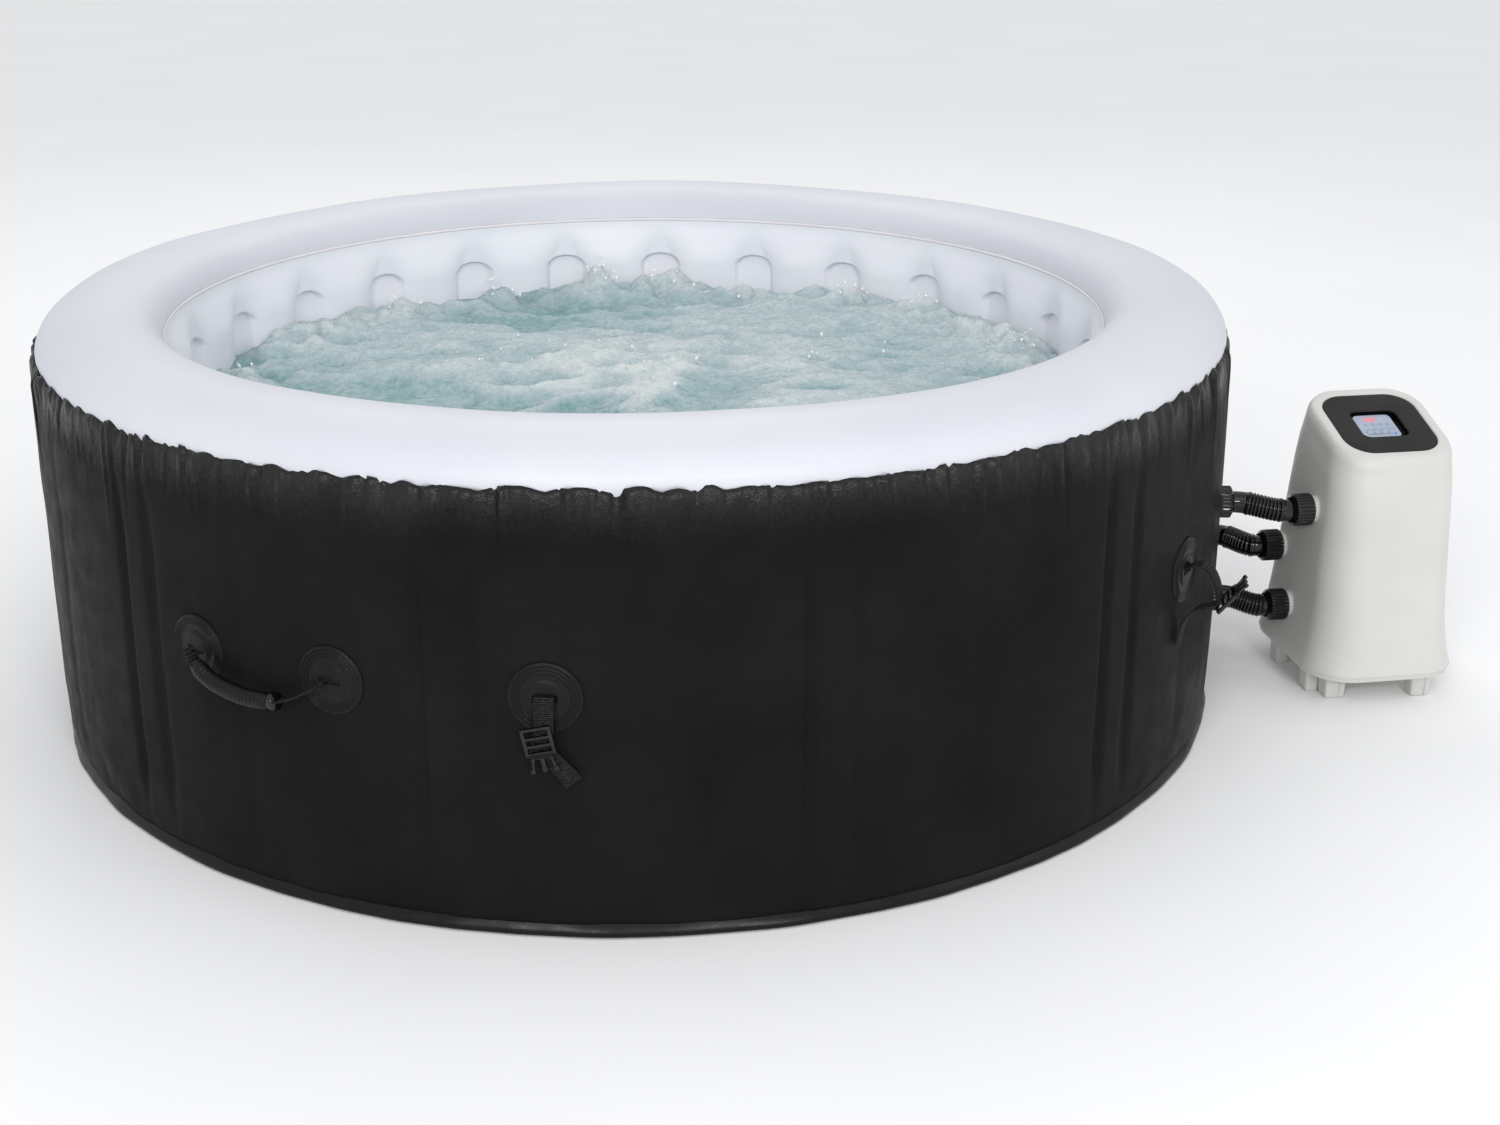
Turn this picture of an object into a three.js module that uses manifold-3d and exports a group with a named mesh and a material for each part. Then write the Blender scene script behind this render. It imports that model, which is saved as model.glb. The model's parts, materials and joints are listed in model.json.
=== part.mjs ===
// Round inflatable hot tub with its outdoor heater pump, three hoses, carry handles and cover straps.
// Millimetres, +Z up, ground at z = 0, tub centre on the Z axis, pump toward +X.
import * as THREE from 'three';
import { mergeVertices } from 'three/addons/utils/BufferGeometryUtils.js';
import Module from 'manifold-3d';

// ---- driving dimensions -------------------------------------------------------------------------
const TUB_R = 900;            // widest outer radius of the inflated wall
const BASE_R = 896;           // radius at the ground
const INNER_R = 702;          // radius of the flat inner panels
const POCKET_DEPTH = 9;       // how far the pockets are set back
const POCKETS = 25;           // pockets round the inner wall
const POCKET_TURN = 8.9;      // turns the ring of pockets, degrees
const RIM_TOP = 640;          // highest line of the rim
const SEAM_Z = 582;           // where the black skirt meets the white rim
const SKIN = 4;               // skin thickness of the soft parts
const TUB_SEGMENTS = 48;

const HANDLE_ANGLE = -116.3;  // middle of the front carry handle; the other is opposite
const HANDLE_HALF = 6.75;     // each patch sits this far from the middle, degrees
const HANDLE_Z = 322;
const LOCK_ANGLES = [-92.1, -28.5, 87.9, 151.5];
const LOCK_Z = 326;
const WEBBING = 25;           // strap width

const PUMP_X = 1158;
const PUMP_YAW = 12;          // the pump is turned a little toward the front
const PUMP_BOTTOM = 50;       // lower edge of the shell
const PANEL_Z = 415;          // height of the panel's middle
const PANEL_SLOPE = 0.32;     // the top rises toward the back
const PANEL_X = -7;           // middle of the top, seen from the side
const SHELL_T = 3;

const NUT_R = 25;
const STUB_R = 19;
const HOSE_R = 17;
const HOSE_BORE = 12;
const RIDGES = 8;             // ridges on each hose's bellows
// every hose: its place on the tub wall and on the pump's near side
const HOSES = [
  { tubY: -50, tubZ: 299, pumpY: -26, pumpZ: 289, face: -111.9 },
  { tubY: 62, tubZ: 205, pumpY: 62, pumpZ: 200, face: -117.6 },
  { tubY: -15, tubZ: 130, pumpY: 10, pumpZ: 118, face: -123.2 },
];
const TUB_STUB_X = 911;       // end of the tub-side stubs
const PUMP_STUB = 24;         // how far the pump-side stubs stand out of the shell

const rad = (deg) => deg * Math.PI / 180;
const wasm = await Module();
wasm.setup();
const { Manifold } = wasm;

// ---- helpers ------------------------------------------------------------------------------------
// Welded copy without zero-area triangles, wound so that it encloses positive volume.
function tidy(source) {
  const bare = new THREE.BufferGeometry();
  bare.setAttribute('position', source.getAttribute('position').clone());
  if (source.index) bare.setIndex(source.index.clone());
  const welded = mergeVertices(bare, 1e-3);
  const p = welded.getAttribute('position');
  const index = welded.index.array;
  const corner = [new THREE.Vector3(), new THREE.Vector3(), new THREE.Vector3()];
  const kept = [];
  let volume = 0;
  for (let i = 0; i < index.length; i += 3) {
    const t = [index[i], index[i + 1], index[i + 2]];
    if (t[0] === t[1] || t[1] === t[2] || t[0] === t[2]) continue;
    t.forEach((v, k) => corner[k].fromBufferAttribute(p, v));
    volume += corner[0].dot(corner[1].clone().cross(corner[2]));
    kept.push(...t);
  }
  if (volume < 0) {
    for (let i = 0; i < kept.length; i += 3) [kept[i], kept[i + 1]] = [kept[i + 1], kept[i]];
  }
  welded.setIndex(kept);
  return welded;
}

function toManifold(geometry) {
  const g = tidy(geometry);
  return new Manifold(new wasm.Mesh({
    numProp: 3,
    vertProperties: new Float32Array(g.getAttribute('position').array),
    triVerts: new Uint32Array(g.index.array),
  }));
}

function fromManifold(body) {
  const mesh = body.getMesh();
  const g = new THREE.BufferGeometry();
  g.setAttribute('position', new THREE.BufferAttribute(new Float32Array(mesh.vertProperties), 3));
  g.setIndex([...mesh.triVerts]);
  return g;
}

// Lathe round Z; the profile is [radius, z] pairs, closed on itself unless it ends on the axis.
function turned(profile, segments, close = true) {
  const points = profile.map(([r, z]) => new THREE.Vector2(r, z));
  if (close) points.push(points[0].clone());
  return new THREE.LatheGeometry(points, segments).rotateX(Math.PI / 2);
}

// Closed surface through a loop of rings; every ring is a list of points of equal length.
function ringLoop(rings) {
  const n = rings[0].length;
  const positions = rings.flat().flatMap((v) => [v.x, v.y, v.z]);
  const index = [];
  rings.forEach((_, a) => {
    const b = (a + 1) % rings.length;
    for (let i = 0; i < n; i++) {
      const j = (i + 1) % n;
      index.push(a * n + i, a * n + j, b * n + j, a * n + i, b * n + j, b * n + i);
    }
  });
  const g = new THREE.BufferGeometry();
  g.setAttribute('position', new THREE.Float32BufferAttribute(positions, 3));
  g.setIndex(index);
  return g;
}

function roundedRect(path, hx, hy, r) {
  path.moveTo(-hx + r, -hy);
  path.lineTo(hx - r, -hy);
  path.absarc(hx - r, -hy + r, r, -Math.PI / 2, 0);
  path.lineTo(hx, hy - r);
  path.absarc(hx - r, hy - r, r, 0, Math.PI / 2);
  path.lineTo(-hx + r, hy);
  path.absarc(-hx + r, hy - r, r, Math.PI / 2, Math.PI);
  path.lineTo(-hx, -hy + r);
  path.absarc(-hx + r, -hy + r, r, Math.PI, 1.5 * Math.PI);
  return path;
}

function slab(shape, depth, curveSegments = 4) {
  return new THREE.ExtrudeGeometry(shape, { depth, bevelEnabled: false, curveSegments });
}

function polygon(points) {
  return new THREE.Shape(points.map(([x, y]) => new THREE.Vector2(x, y)));
}

const group = new THREE.Group();

// A group inside a parent, moved and turned; wall spots sit at a radius, angle and height on the tub.
function place(parent, position, rotation = [0, 0, 0]) {
  const spot = new THREE.Group();
  spot.position.set(...position);
  spot.rotation.set(...rotation);
  parent.add(spot);
  return spot;
}

function wallSpot(angle, z, radius) {
  return place(place(group, [0, 0, z], [0, 0, rad(angle)]), [radius, 0, 0]);
}

function add(name, geometry, color, roughness, metalness = 0, parent = group) {
  const material = new THREE.MeshStandardMaterial({ color, roughness, metalness });
  const mesh = new THREE.Mesh(tidy(geometry), material);
  mesh.name = name;
  parent.add(mesh);
}

// Lathe pieces are turned round Z; these lay their axis along +X, or draw a flat shape upright facing +X.
const alongX = (g) => g.rotateY(Math.PI / 2);
const facingX = (g) => g.applyMatrix4(new THREE.Matrix4().makeBasis(
  new THREE.Vector3(0, 1, 0), new THREE.Vector3(0, 0, 1), new THREE.Vector3(1, 0, 0)));

// Cutter: a round bar of the given radius and length along +X from x = start.
function barAlongX(radius, start, length, segments = 20) {
  const bar = new THREE.CylinderGeometry(radius, radius, length, segments).rotateZ(-Math.PI / 2);
  return bar.translate(start + length / 2, 0, 0);
}

const WHITE = 0xe4ebf0;
const BLACK = 0x1b1c1c;
const CREAM = 0xe6e5e0;
const GREY = 0x55565a;

// ---- tub: soft shell ----------------------------------------------------------------------------
add('tub_base', turned([[0, 0], [BASE_R - 3, 0], [BASE_R - 3, 8], [0, 8]], TUB_SEGMENTS, false), BLACK, 0.6);
add('base_hem', turned([[BASE_R - 6, 8.4], [BASE_R, 8.4], [BASE_R + 1, 26.6], [BASE_R - 5, 26.6]],
  TUB_SEGMENTS), BLACK, 0.35);

const skirtOuter = [[BASE_R + 1, 27], [TUB_R, 130], [TUB_R, 440], [TUB_R - 7, 540],
  [TUB_R - 18, SEAM_Z - 0.5]];
const skirtInner = skirtOuter.map(([r, z]) => [r - SKIN, z]).reverse();
let skirt = toManifold(turned([...skirtOuter, ...skirtInner], TUB_SEGMENTS));

const rimOuter = [[882, SEAM_Z], [871, 608], [845, 629], [806, RIM_TOP], [764, 637], [727, 617],
  [708, SEAM_Z + 2]];
add('rim_ring', turned(rimOuter, TUB_SEGMENTS), WHITE, 0.35);

// inner wall: flat panels and set-back pockets in turn, pockets a little narrower than the panels
function pocketOutline(extra) {
  const step = 360 / POCKETS;
  const points = [];
  for (let i = 0; i < POCKETS; i++) {
    [[0, 0], [0.54, 0], [0.60, 1], [0.94, 1]].forEach(([u, back]) => {
      const r = INNER_R + back * POCKET_DEPTH + extra;
      const a = rad(POCKET_TURN + (i + u) * step);
      points.push([r * Math.cos(a), r * Math.sin(a)]);
    });
  }
  return points;
}
const liner = polygon(pocketOutline(SKIN));
liner.holes.push(polygon(pocketOutline(0)));
let inner = toManifold(slab(liner, SEAM_Z + 1.5 - 27).translate(0, 0, 27));

add('floor_sheet', turned([[0, 18], [INNER_R - 4, 18], [INNER_R - 4, 26], [0, 26]], TUB_SEGMENTS, false),
  WHITE, 0.4);
add('bubble_channel', turned([[640, 26.4], [690, 26.4], [690, 40], [678, 50], [652, 50], [640, 40]],
  TUB_SEGMENTS), WHITE, 0.4);

// zigzag web that ties the two walls together inside the air chamber
function webOutline(extra) {
  const points = [];
  for (let i = 0; i < 2 * POCKETS; i++) {
    const r = (i % 2 ? 884 : 722) + extra;
    const a = rad((i + 0.5) * 180 / POCKETS);
    points.push([r * Math.cos(a), r * Math.sin(a)]);
  }
  return points;
}
const webShape = polygon(webOutline(0));
webShape.holes.push(polygon(webOutline(-5)));
let web = toManifold(slab(webShape, 500).translate(0, 0, 45));

// ---- tub: wall couplings ------------------------------------------------------------------------
HOSES.forEach((h, i) => {
  const drill = (r) => toManifold(barAlongX(r, 670, 260).translate(0, h.tubY, h.tubZ));
  skirt = skirt.subtract(drill(16.5));
  inner = inner.subtract(drill(16.5));
  web = web.subtract(drill(17));
  const x0 = 688;
  const profile = [[0, x0], [30, x0], [30, x0 + 5], [16, x0 + 7], [16, TUB_STUB_X],
    [HOSE_BORE, TUB_STUB_X], [HOSE_BORE, x0 + 6], [0, x0 + 6]];
  add(`tub_port_${i + 1}`, alongX(turned(profile, 16, false)), WHITE, 0.4, 0, place(group, [0, h.tubY, h.tubZ]));
});

// ---- tub: air valve and drain, both at the back --------------------------------------------------
const VALVES = [
  { name: 'air_valve', cap: 'air_valve_cap', angle: 38, z: 470, radius: TUB_R - 1 },
  { name: 'drain_valve', cap: 'drain_cap', angle: 168, z: 75, radius: TUB_R - 1 },
];
VALVES.forEach((v) => {
  skirt = skirt.subtract(toManifold(barAlongX(18, v.radius - 40, 80).rotateZ(rad(v.angle)).translate(0, 0, v.z)));
  const spot = wallSpot(v.angle, v.z, v.radius);
  const body = [[0, -16], [17.5, -16], [17.5, 2.6], [29, 2.6], [29, 5.5], [0, 5.5]];
  add(v.name, alongX(turned(body, 14, false)), GREY, 0.45, 0, spot);
  const cap = [[0, 6], [24, 6], [24, 15], [21, 18], [0, 18]];
  add(v.cap, alongX(turned(cap, 14, false)), BLACK, 0.4, 0, spot);
});

add('outer_wall', fromManifold(skirt), BLACK, 0.55);
add('inner_wall', fromManifold(inner), WHITE, 0.35);
add('beam_web', fromManifold(web), WHITE, 0.5);

// ---- filter cartridge standing on the floor by the suction coupling --------------------------------
add('filter_cartridge', turned([[0, 54], [50, 54], [50, 240], [0, 240]], 16, false), 0xdfe6ea, 0.7, 0,
  place(group, [628, -15, 0]));

// ---- carry handles ------------------------------------------------------------------------------
const PATCH = [[0, 0], [45, 0], [45, 1.6], [37, 3.6], [30, 2.6], [22, 3.6], [0, 3.6]];
const PATCH_RADIUS = TUB_R + 1.6;
[HANDLE_ANGLE, HANDLE_ANGLE + 180].forEach((middle, side) => {
  [-HANDLE_HALF, HANDLE_HALF].forEach((offset, k) => {
    add(`handle_patch_${2 * side + k + 1}`, alongX(turned(PATCH, 14, false)), BLACK, 0.5, 0,
      wallSpot(middle + offset, HANDLE_Z, PATCH_RADIUS));
  });
  const outline = [];
  for (let i = 0; i <= 12; i++) {
    const a = Math.PI * (1 + i / 12);
    outline.push([118 * Math.cos(a), 58 * Math.sin(a)]);
  }
  for (let i = 12; i >= 0; i--) {
    const a = Math.PI * (1 + i / 12);
    outline.push([94 * Math.cos(a), 34 * Math.sin(a)]);
  }
  add(`handle_grip_${side + 1}`, facingX(slab(polygon(outline), 14)), BLACK, 0.5, 0,
    wallSpot(middle, HANDLE_Z + 6, PATCH_RADIUS + 4));
});

// ---- cover straps: patch, webbing with its tail, buckle ------------------------------------------
LOCK_ANGLES.forEach((angle, i) => {
  const spot = wallSpot(angle, LOCK_Z, PATCH_RADIUS);
  add(`lock_patch_${i + 1}`, alongX(turned(PATCH, 14, false)), BLACK, 0.5, 0, spot);
  const half = WEBBING / 2;
  const strap = polygon([[-half, 14], [-half, -92], [-half + 14, -122], [half + 16, -112], [half, -84],
    [half, 14]]);
  add(`lock_strap_${i + 1}`, facingX(slab(strap, 2.4)), BLACK, 0.6, 0, place(spot, [4.2, 0, 0]));
  const frame = roundedRect(new THREE.Shape(), 21, 17, 4);
  add(`lock_buckle_${i + 1}`, facingX(slab(frame, 6.5, 2)), BLACK, 0.35, 0, place(spot, [7, 0, -76]));
});

// ---- pump shell: rounded-square rings, hollow, open below, with a seat for the panel ---------------
const pump = place(group, [PUMP_X, 0, 0], [0, 0, rad(PUMP_YAW)]);

function shellRing(z, hx, hy, r, cx, tilt) {
  const points = [];
  [[1, 1, 0], [-1, 1, 90], [-1, -1, 180], [1, -1, 270]].forEach(([sx, sy, start]) => {
    for (let k = 0; k < 5; k++) {
      const a = rad(start + k * 22.5);
      const x = sx * (hx - r) + r * Math.cos(a) + cx;
      const y = sy * (hy - r) + r * Math.sin(a);
      points.push(new THREE.Vector3(x, y, z + tilt * PANEL_SLOPE * y));
    }
  });
  return points;
}
// z, half depth toward the tub, half width, corner radius, middle shift, share of the panel slope
const shellLevels = [
  [PUMP_BOTTOM, 121, 146, 70, -14, 0],
  [72, 115, 142, 66, -15, 0],
  [130, 106, 134, 60, -15.5, 0.1],
  [230, 103, 118, 54, -13, 0.35],
  [330, 99, 108, 52, -10, 0.7],
  [396, 97.5, 97.5, 56, PANEL_X, 1],
];
const lipLevels = [
  [411, 93.5, 93.5, 54, PANEL_X, 1],
  [PANEL_Z + 1.5, 87, 87, 49, PANEL_X, 1],
  [PANEL_Z + 0.5, 76, 76, 40, PANEL_X, 1],
  [PANEL_Z - 4, 76, 76, 40, PANEL_X, 1],
  [407, 88, 88, 48, PANEL_X, 1],
];
const insideLevels = shellLevels.map(([z, hx, hy, r, cx, t]) =>
  [z, hx - SHELL_T, hy - SHELL_T, r - SHELL_T, cx, t]).reverse();
let shell = toManifold(ringLoop([...shellLevels, ...lipLevels, ...insideLevels].map((v) => shellRing(...v))));

// ---- pump-side stubs, union nuts and hoses -------------------------------------------------------
const yawAxis = new THREE.Vector3(Math.cos(rad(PUMP_YAW)), Math.sin(rad(PUMP_YAW)), 0);
const pumpPoint = (x, y, z) => new THREE.Vector3(x, y, z)
  .applyAxisAngle(new THREE.Vector3(0, 0, 1), rad(PUMP_YAW)).add(new THREE.Vector3(PUMP_X, 0, 0));

// hollow sweep: stations are [distance along the path, outer radius]
function sweep(curve, stations, bore, segments) {
  const length = curve.getLength();
  const ring = (s, r) => {
    const u = Math.min(Math.max(s / length, 0), 1);
    const centre = curve.getPoint(u);
    const side = curve.getTangent(u).cross(new THREE.Vector3(0, 0, 1)).normalize();
    const up = side.clone().cross(curve.getTangent(u)).normalize();
    return Array.from({ length: segments }, (_, k) => {
      const a = 2 * Math.PI * k / segments;
      return centre.clone().addScaledVector(side, r * Math.cos(a)).addScaledVector(up, r * Math.sin(a));
    });
  };
  const outer = stations.map(([s, r]) => ring(s, r));
  const inside = stations.filter((_, i) => i === 0 || i === stations.length - 1 || i % 6 === 3).reverse();
  return ringLoop([...outer, ...inside.map(([s]) => ring(s, bore))]);
}

HOSES.forEach((h, i) => {
  const n = i + 1;
  shell = shell.subtract(toManifold(barAlongX(STUB_R + 0.6, h.face - 30, 60, 24)
    .translate(0, h.pumpY, h.pumpZ)));
  const mouth = place(pump, [h.face, h.pumpY, h.pumpZ], [0, -Math.PI / 2, 0]);
  const stub = [[HOSE_BORE, -22], [26, -22], [26, -16], [STUB_R, -16], [STUB_R, PUMP_STUB],
    [HOSE_BORE, PUMP_STUB]];
  add(`pump_port_${n}`, turned(stub, 16), CREAM, 0.45, 0, mouth);
  const pumpNut = [[STUB_R + 1, 9], [NUT_R, 9], [NUT_R, 37], [NUT_R - 4, 43], [HOSE_R + 1, 43],
    [HOSE_R + 1, PUMP_STUB + 4], [STUB_R + 1, PUMP_STUB + 4]];
  add(`pump_nut_${n}`, turned(pumpNut, 14), BLACK, 0.3, 0, mouth);
  const tubNut = [[17, 901.5], [NUT_R, 901.5], [NUT_R, 920], [NUT_R - 4, 925], [HOSE_R + 1, 925],
    [HOSE_R + 1, TUB_STUB_X + 4], [20.5, TUB_STUB_X + 4], [20.5, TUB_STUB_X - 1.5],
    [17, TUB_STUB_X - 1.5]];
  add(`tub_nut_${n}`, alongX(turned(tubNut, 14)), BLACK, 0.3, 0, place(group, [0, h.tubY, h.tubZ]));

  const start = new THREE.Vector3(TUB_STUB_X + 0.4, h.tubY, h.tubZ);
  const end = pumpPoint(h.face - PUMP_STUB - 0.4, h.pumpY, h.pumpZ);
  const leave = start.clone().add(new THREE.Vector3(15, 0, 0));
  const arrive = end.clone().addScaledVector(yawAxis, -20);
  const pull = leave.distanceTo(arrive) * 0.36;
  const path = new THREE.CurvePath();
  path.add(new THREE.LineCurve3(start, leave));
  path.add(new THREE.CubicBezierCurve3(leave, leave.clone().add(new THREE.Vector3(pull, 0, 0)),
    arrive.clone().addScaledVector(yawAxis, -pull), arrive));
  path.add(new THREE.LineCurve3(arrive, end));
  const length = path.getLength();
  const from = length * 0.27;
  const pitch = (length * 0.75 - from) / RIDGES;
  const stations = [[0, 19.3], [3, 19.3], [3, HOSE_R], [15, HOSE_R], [from, HOSE_R]];
  for (let k = 0; k < RIDGES; k++) {
    stations.push([from + (k + 0.2) * pitch, HOSE_R - 1.6], [from + (k + 0.7) * pitch, HOSE_R + 0.8]);
  }
  stations.push([length - 20, HOSE_R], [length - 3, HOSE_R], [length - 3, 18.6], [length, 18.6]);
  add(`hose_${n}`, sweep(path, stations, HOSE_BORE, 10), BLACK, 0.3);
});

// ---- pump: cable gland at the back, panel, display, keys ------------------------------------------
shell = shell.subtract(toManifold(new THREE.CylinderGeometry(8, 8, 60, 16).translate(15, 139, 95)));
const gland = [[0, -16], [12, -16], [12, -13], [7.5, -13], [7.5, 4], [13, 4], [13, 9], [8, 20], [0, 20]];
add('cable_gland', turned(gland, 10, false), BLACK, 0.5, 0, place(pump, [15, 139, 95], [-Math.PI / 2, 0, 0]));
add('pump_shell', fromManifold(shell), CREAM, 0.4, 0, pump);

const panel = place(pump, [PANEL_X, 0, PANEL_Z], [Math.atan(PANEL_SLOPE), 0, 0]);
const bezel = roundedRect(new THREE.Shape(), 74.5, 77.5, 43);
bezel.holes.push(roundedRect(new THREE.Path(), 38, 36, 9));
add('panel_bezel', slab(bezel, 3, 4), GREY, 0.6, 0, place(panel, [0, 0, -3.2]));

const trayFloor = toManifold(slab(roundedRect(new THREE.Shape(), 44, 42, 11), 13, 3).translate(0, 0, -16.6));
const trayRoom = toManifold(slab(roundedRect(new THREE.Shape(), 40, 38, 9), 13, 3).translate(0, 0, -13.6));
add('display_tray', fromManifold(trayFloor.subtract(trayRoom)), BLACK, 0.4, 0, panel);

const KEY_PLACES = [[-18, -17], [-6, -17], [6, -17], [18, -17]];
const glass = roundedRect(new THREE.Shape(), 31, 30, 7);
const keyHole = (u, v) => new THREE.Path(Array.from({ length: 12 }, (_, i) =>
  new THREE.Vector2(u + 5.4 * Math.cos(rad(30 * i)), v + 5.4 * Math.sin(rad(30 * i)))));
KEY_PLACES.forEach(([u, v]) => glass.holes.push(keyHole(u, v)));
add('display_panel', slab(glass, 4, 3), 0xb8c4d0, 0.25, 0, place(panel, [-3, 0, -11.8]));
KEY_PLACES.forEach(([u, v], i) => {
  add(`key_${i + 1}`, turned([[0, 0], [4.8, 0], [4.8, 5.2], [0, 5.2]], 12, false), 0xaebccb, 0.4, 0,
    place(panel, [u - 3, v, -12]));
});

// ---- pump: moulded base with its feet, and the works inside ---------------------------------------
const plate = toManifold(slab(roundedRect(new THREE.Shape(), 118, 143, 67), 9, 6).translate(-14, 0, 40));
const FEET = [[-85, 88, 34, 34], [-109, 58, 24, 30], [51, 104, 34, 30]];
const feet = FEET.flatMap(([x, y, w, d]) => [y, -y].map((v) =>
  toManifold(new THREE.BoxGeometry(w, d, 41).translate(x, v, 20.5))));
add('pump_base', fromManifold(Manifold.union([plate, ...feet])), CREAM, 0.5, 0, pump);

const works = place(pump, [10, 0, 0]);
add('pump_volute', turned([[0, 49.5], [60, 49.5], [60, 104], [56, 104], [56, 54], [0, 54]], 24, false),
  GREY, 0.5, 0, works);
const blades = [];
for (let i = 0; i < 24; i++) {
  const r = i % 4 < 2 ? 52 : 13;
  const a = rad(i * 15 + (r > 20 ? (i % 4 ? -5 : 5) : 0));
  blades.push([r * Math.cos(a), r * Math.sin(a)]);
}
add('pump_impeller', slab(polygon(blades), 24), BLACK, 0.5, 0, place(works, [0, 0, 60]));
add('pump_motor', turned([[0, 106], [58, 106], [58, 112], [44, 116], [44, 215], [36, 222], [0, 222]],
  20, false), GREY, 0.35, 0.6, works);

export default group;
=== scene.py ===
"""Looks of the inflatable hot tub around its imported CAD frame. Metres, +Z up, tub centre on the Z axis."""
import json
from math import atan2, cos, exp, hypot, pi, radians, sin, sqrt, tan

import bmesh
import bpy
import numpy as np
from mathutils import Matrix, Vector


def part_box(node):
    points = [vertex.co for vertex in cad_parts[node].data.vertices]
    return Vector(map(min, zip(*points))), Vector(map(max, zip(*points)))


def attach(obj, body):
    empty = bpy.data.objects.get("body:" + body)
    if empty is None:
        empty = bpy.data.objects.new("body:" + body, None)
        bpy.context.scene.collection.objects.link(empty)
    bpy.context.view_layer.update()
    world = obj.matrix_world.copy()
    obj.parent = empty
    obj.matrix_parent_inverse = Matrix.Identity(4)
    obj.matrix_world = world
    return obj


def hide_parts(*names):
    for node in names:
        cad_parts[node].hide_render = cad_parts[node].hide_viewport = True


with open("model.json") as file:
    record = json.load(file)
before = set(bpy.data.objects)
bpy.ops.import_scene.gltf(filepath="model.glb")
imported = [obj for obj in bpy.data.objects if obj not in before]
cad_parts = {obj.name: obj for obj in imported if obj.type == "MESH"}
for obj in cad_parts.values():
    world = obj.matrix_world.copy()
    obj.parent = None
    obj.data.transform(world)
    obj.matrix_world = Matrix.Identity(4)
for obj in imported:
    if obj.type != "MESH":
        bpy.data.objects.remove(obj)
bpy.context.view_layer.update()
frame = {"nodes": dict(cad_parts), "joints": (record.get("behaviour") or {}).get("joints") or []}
JOINTS = {j["name"]: j for j in frame["joints"]}
rng = np.random.default_rng(7)
TAU = 2 * pi


def shift(x, y, z):
    return Matrix.Translation((x, y, z))


def middle_of(node):
    low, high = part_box(node)
    return (low + high) / 2


# ---- places taken from the frame
TUB_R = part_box("outer_wall")[1].x
SEAM_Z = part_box("rim_ring")[0].z
HEM_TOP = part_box("base_hem")[1].z
HEM_TOP_GAP = 0.004        # the hem's skin ends this far under the node's top
POCKETS = 25
POCKET_PHASE = radians(92)
POCKET_ARC_R = 0.705       # radius at which the pockets' width is measured
LINER_R = 0.7075           # flat part of the inner panels
LINER_BACK_R = 0.726       # hidden side of the inner wall's skin
LINER_TOP = 0.586          # height of the weld between inner wall and rim
WATER_Z = 0.455
WATER_R = 0.719
PATCH_STAND = 0.0014       # how far the patches' middle plane stands off the wall
NUT_R = 0.025
NUT_BORE = 0.0178
GRIP_R = 0.0112            # sleeve of a carry handle
nut_axis = Vector(JOINTS["pump_nut_1_turn"]["axis"])
PUMP_YAW = atan2(-nut_axis.y, -nut_axis.x)
press_axis = Vector(JOINTS["key_1_press"]["axis"])
PANEL_SLOPE = atan2(hypot(press_axis.x, press_axis.y), -press_axis.z)
works = Vector(JOINTS["impeller_spin"]["pos_m"])
WORKS_SHIFT = 0.01         # the impeller's axis stands this far off the pump's middle
PUMP = shift(works.x - WORKS_SHIFT * cos(PUMP_YAW), works.y - WORKS_SHIFT * sin(PUMP_YAW), 0)
PUMP = PUMP @ Matrix.Rotation(PUMP_YAW, 4, "Z")
PANEL_Z = 0.415
PANEL_X = (PUMP.inverted() @ middle_of("panel_bezel")).x
PANEL = PUMP @ shift(PANEL_X, 0, PANEL_Z) @ Matrix.Rotation(PANEL_SLOPE, 4, "X")


# ---- numeric helpers
def lattice(ix, iy, seed):
    """Repeatable pseudo-random value from 0 to 1 at whole-number places."""
    h = (ix.astype(np.int64) * 374761393 + iy.astype(np.int64) * 668265263 + seed * 1442695041) & 0xFFFFFFFF
    h = ((h ^ (h >> 13)) * 1274126177) & 0xFFFFFFFF
    return ((h ^ (h >> 16)) & 0xFFFF) / 65535.0


def value_noise(x, y, seed):
    ix, iy = np.floor(x), np.floor(y)
    u, v = x - ix, y - iy
    u, v = u * u * (3 - 2 * u), v * v * (3 - 2 * v)
    low = lattice(ix, iy, seed) * (1 - u) + lattice(ix + 1, iy, seed) * u
    high = lattice(ix, iy + 1, seed) * (1 - u) + lattice(ix + 1, iy + 1, seed) * u
    return low * (1 - v) + high * v


def fbm(x, y, octaves, seed):
    """Layered noise, about -1 to 1."""
    total, size, weight = 0, 1.0, 0
    for k in range(octaves):
        turn = 0.6 * k + 0.3
        px = (x * cos(turn) - y * sin(turn)) * 2 ** k
        py = (x * sin(turn) + y * cos(turn)) * 2 ** k
        total = total + size * (2 * value_noise(px + 17.3 * k, py - 9.1 * k, seed + k) - 1)
        weight += size
        size *= 0.5
    return total / weight


def step(low, high, value):
    """Smooth rise from 0 to 1 between low and high."""
    t = np.clip((value - low) / (high - low), 0, 1)
    return t * t * (3 - 2 * t)


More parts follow.
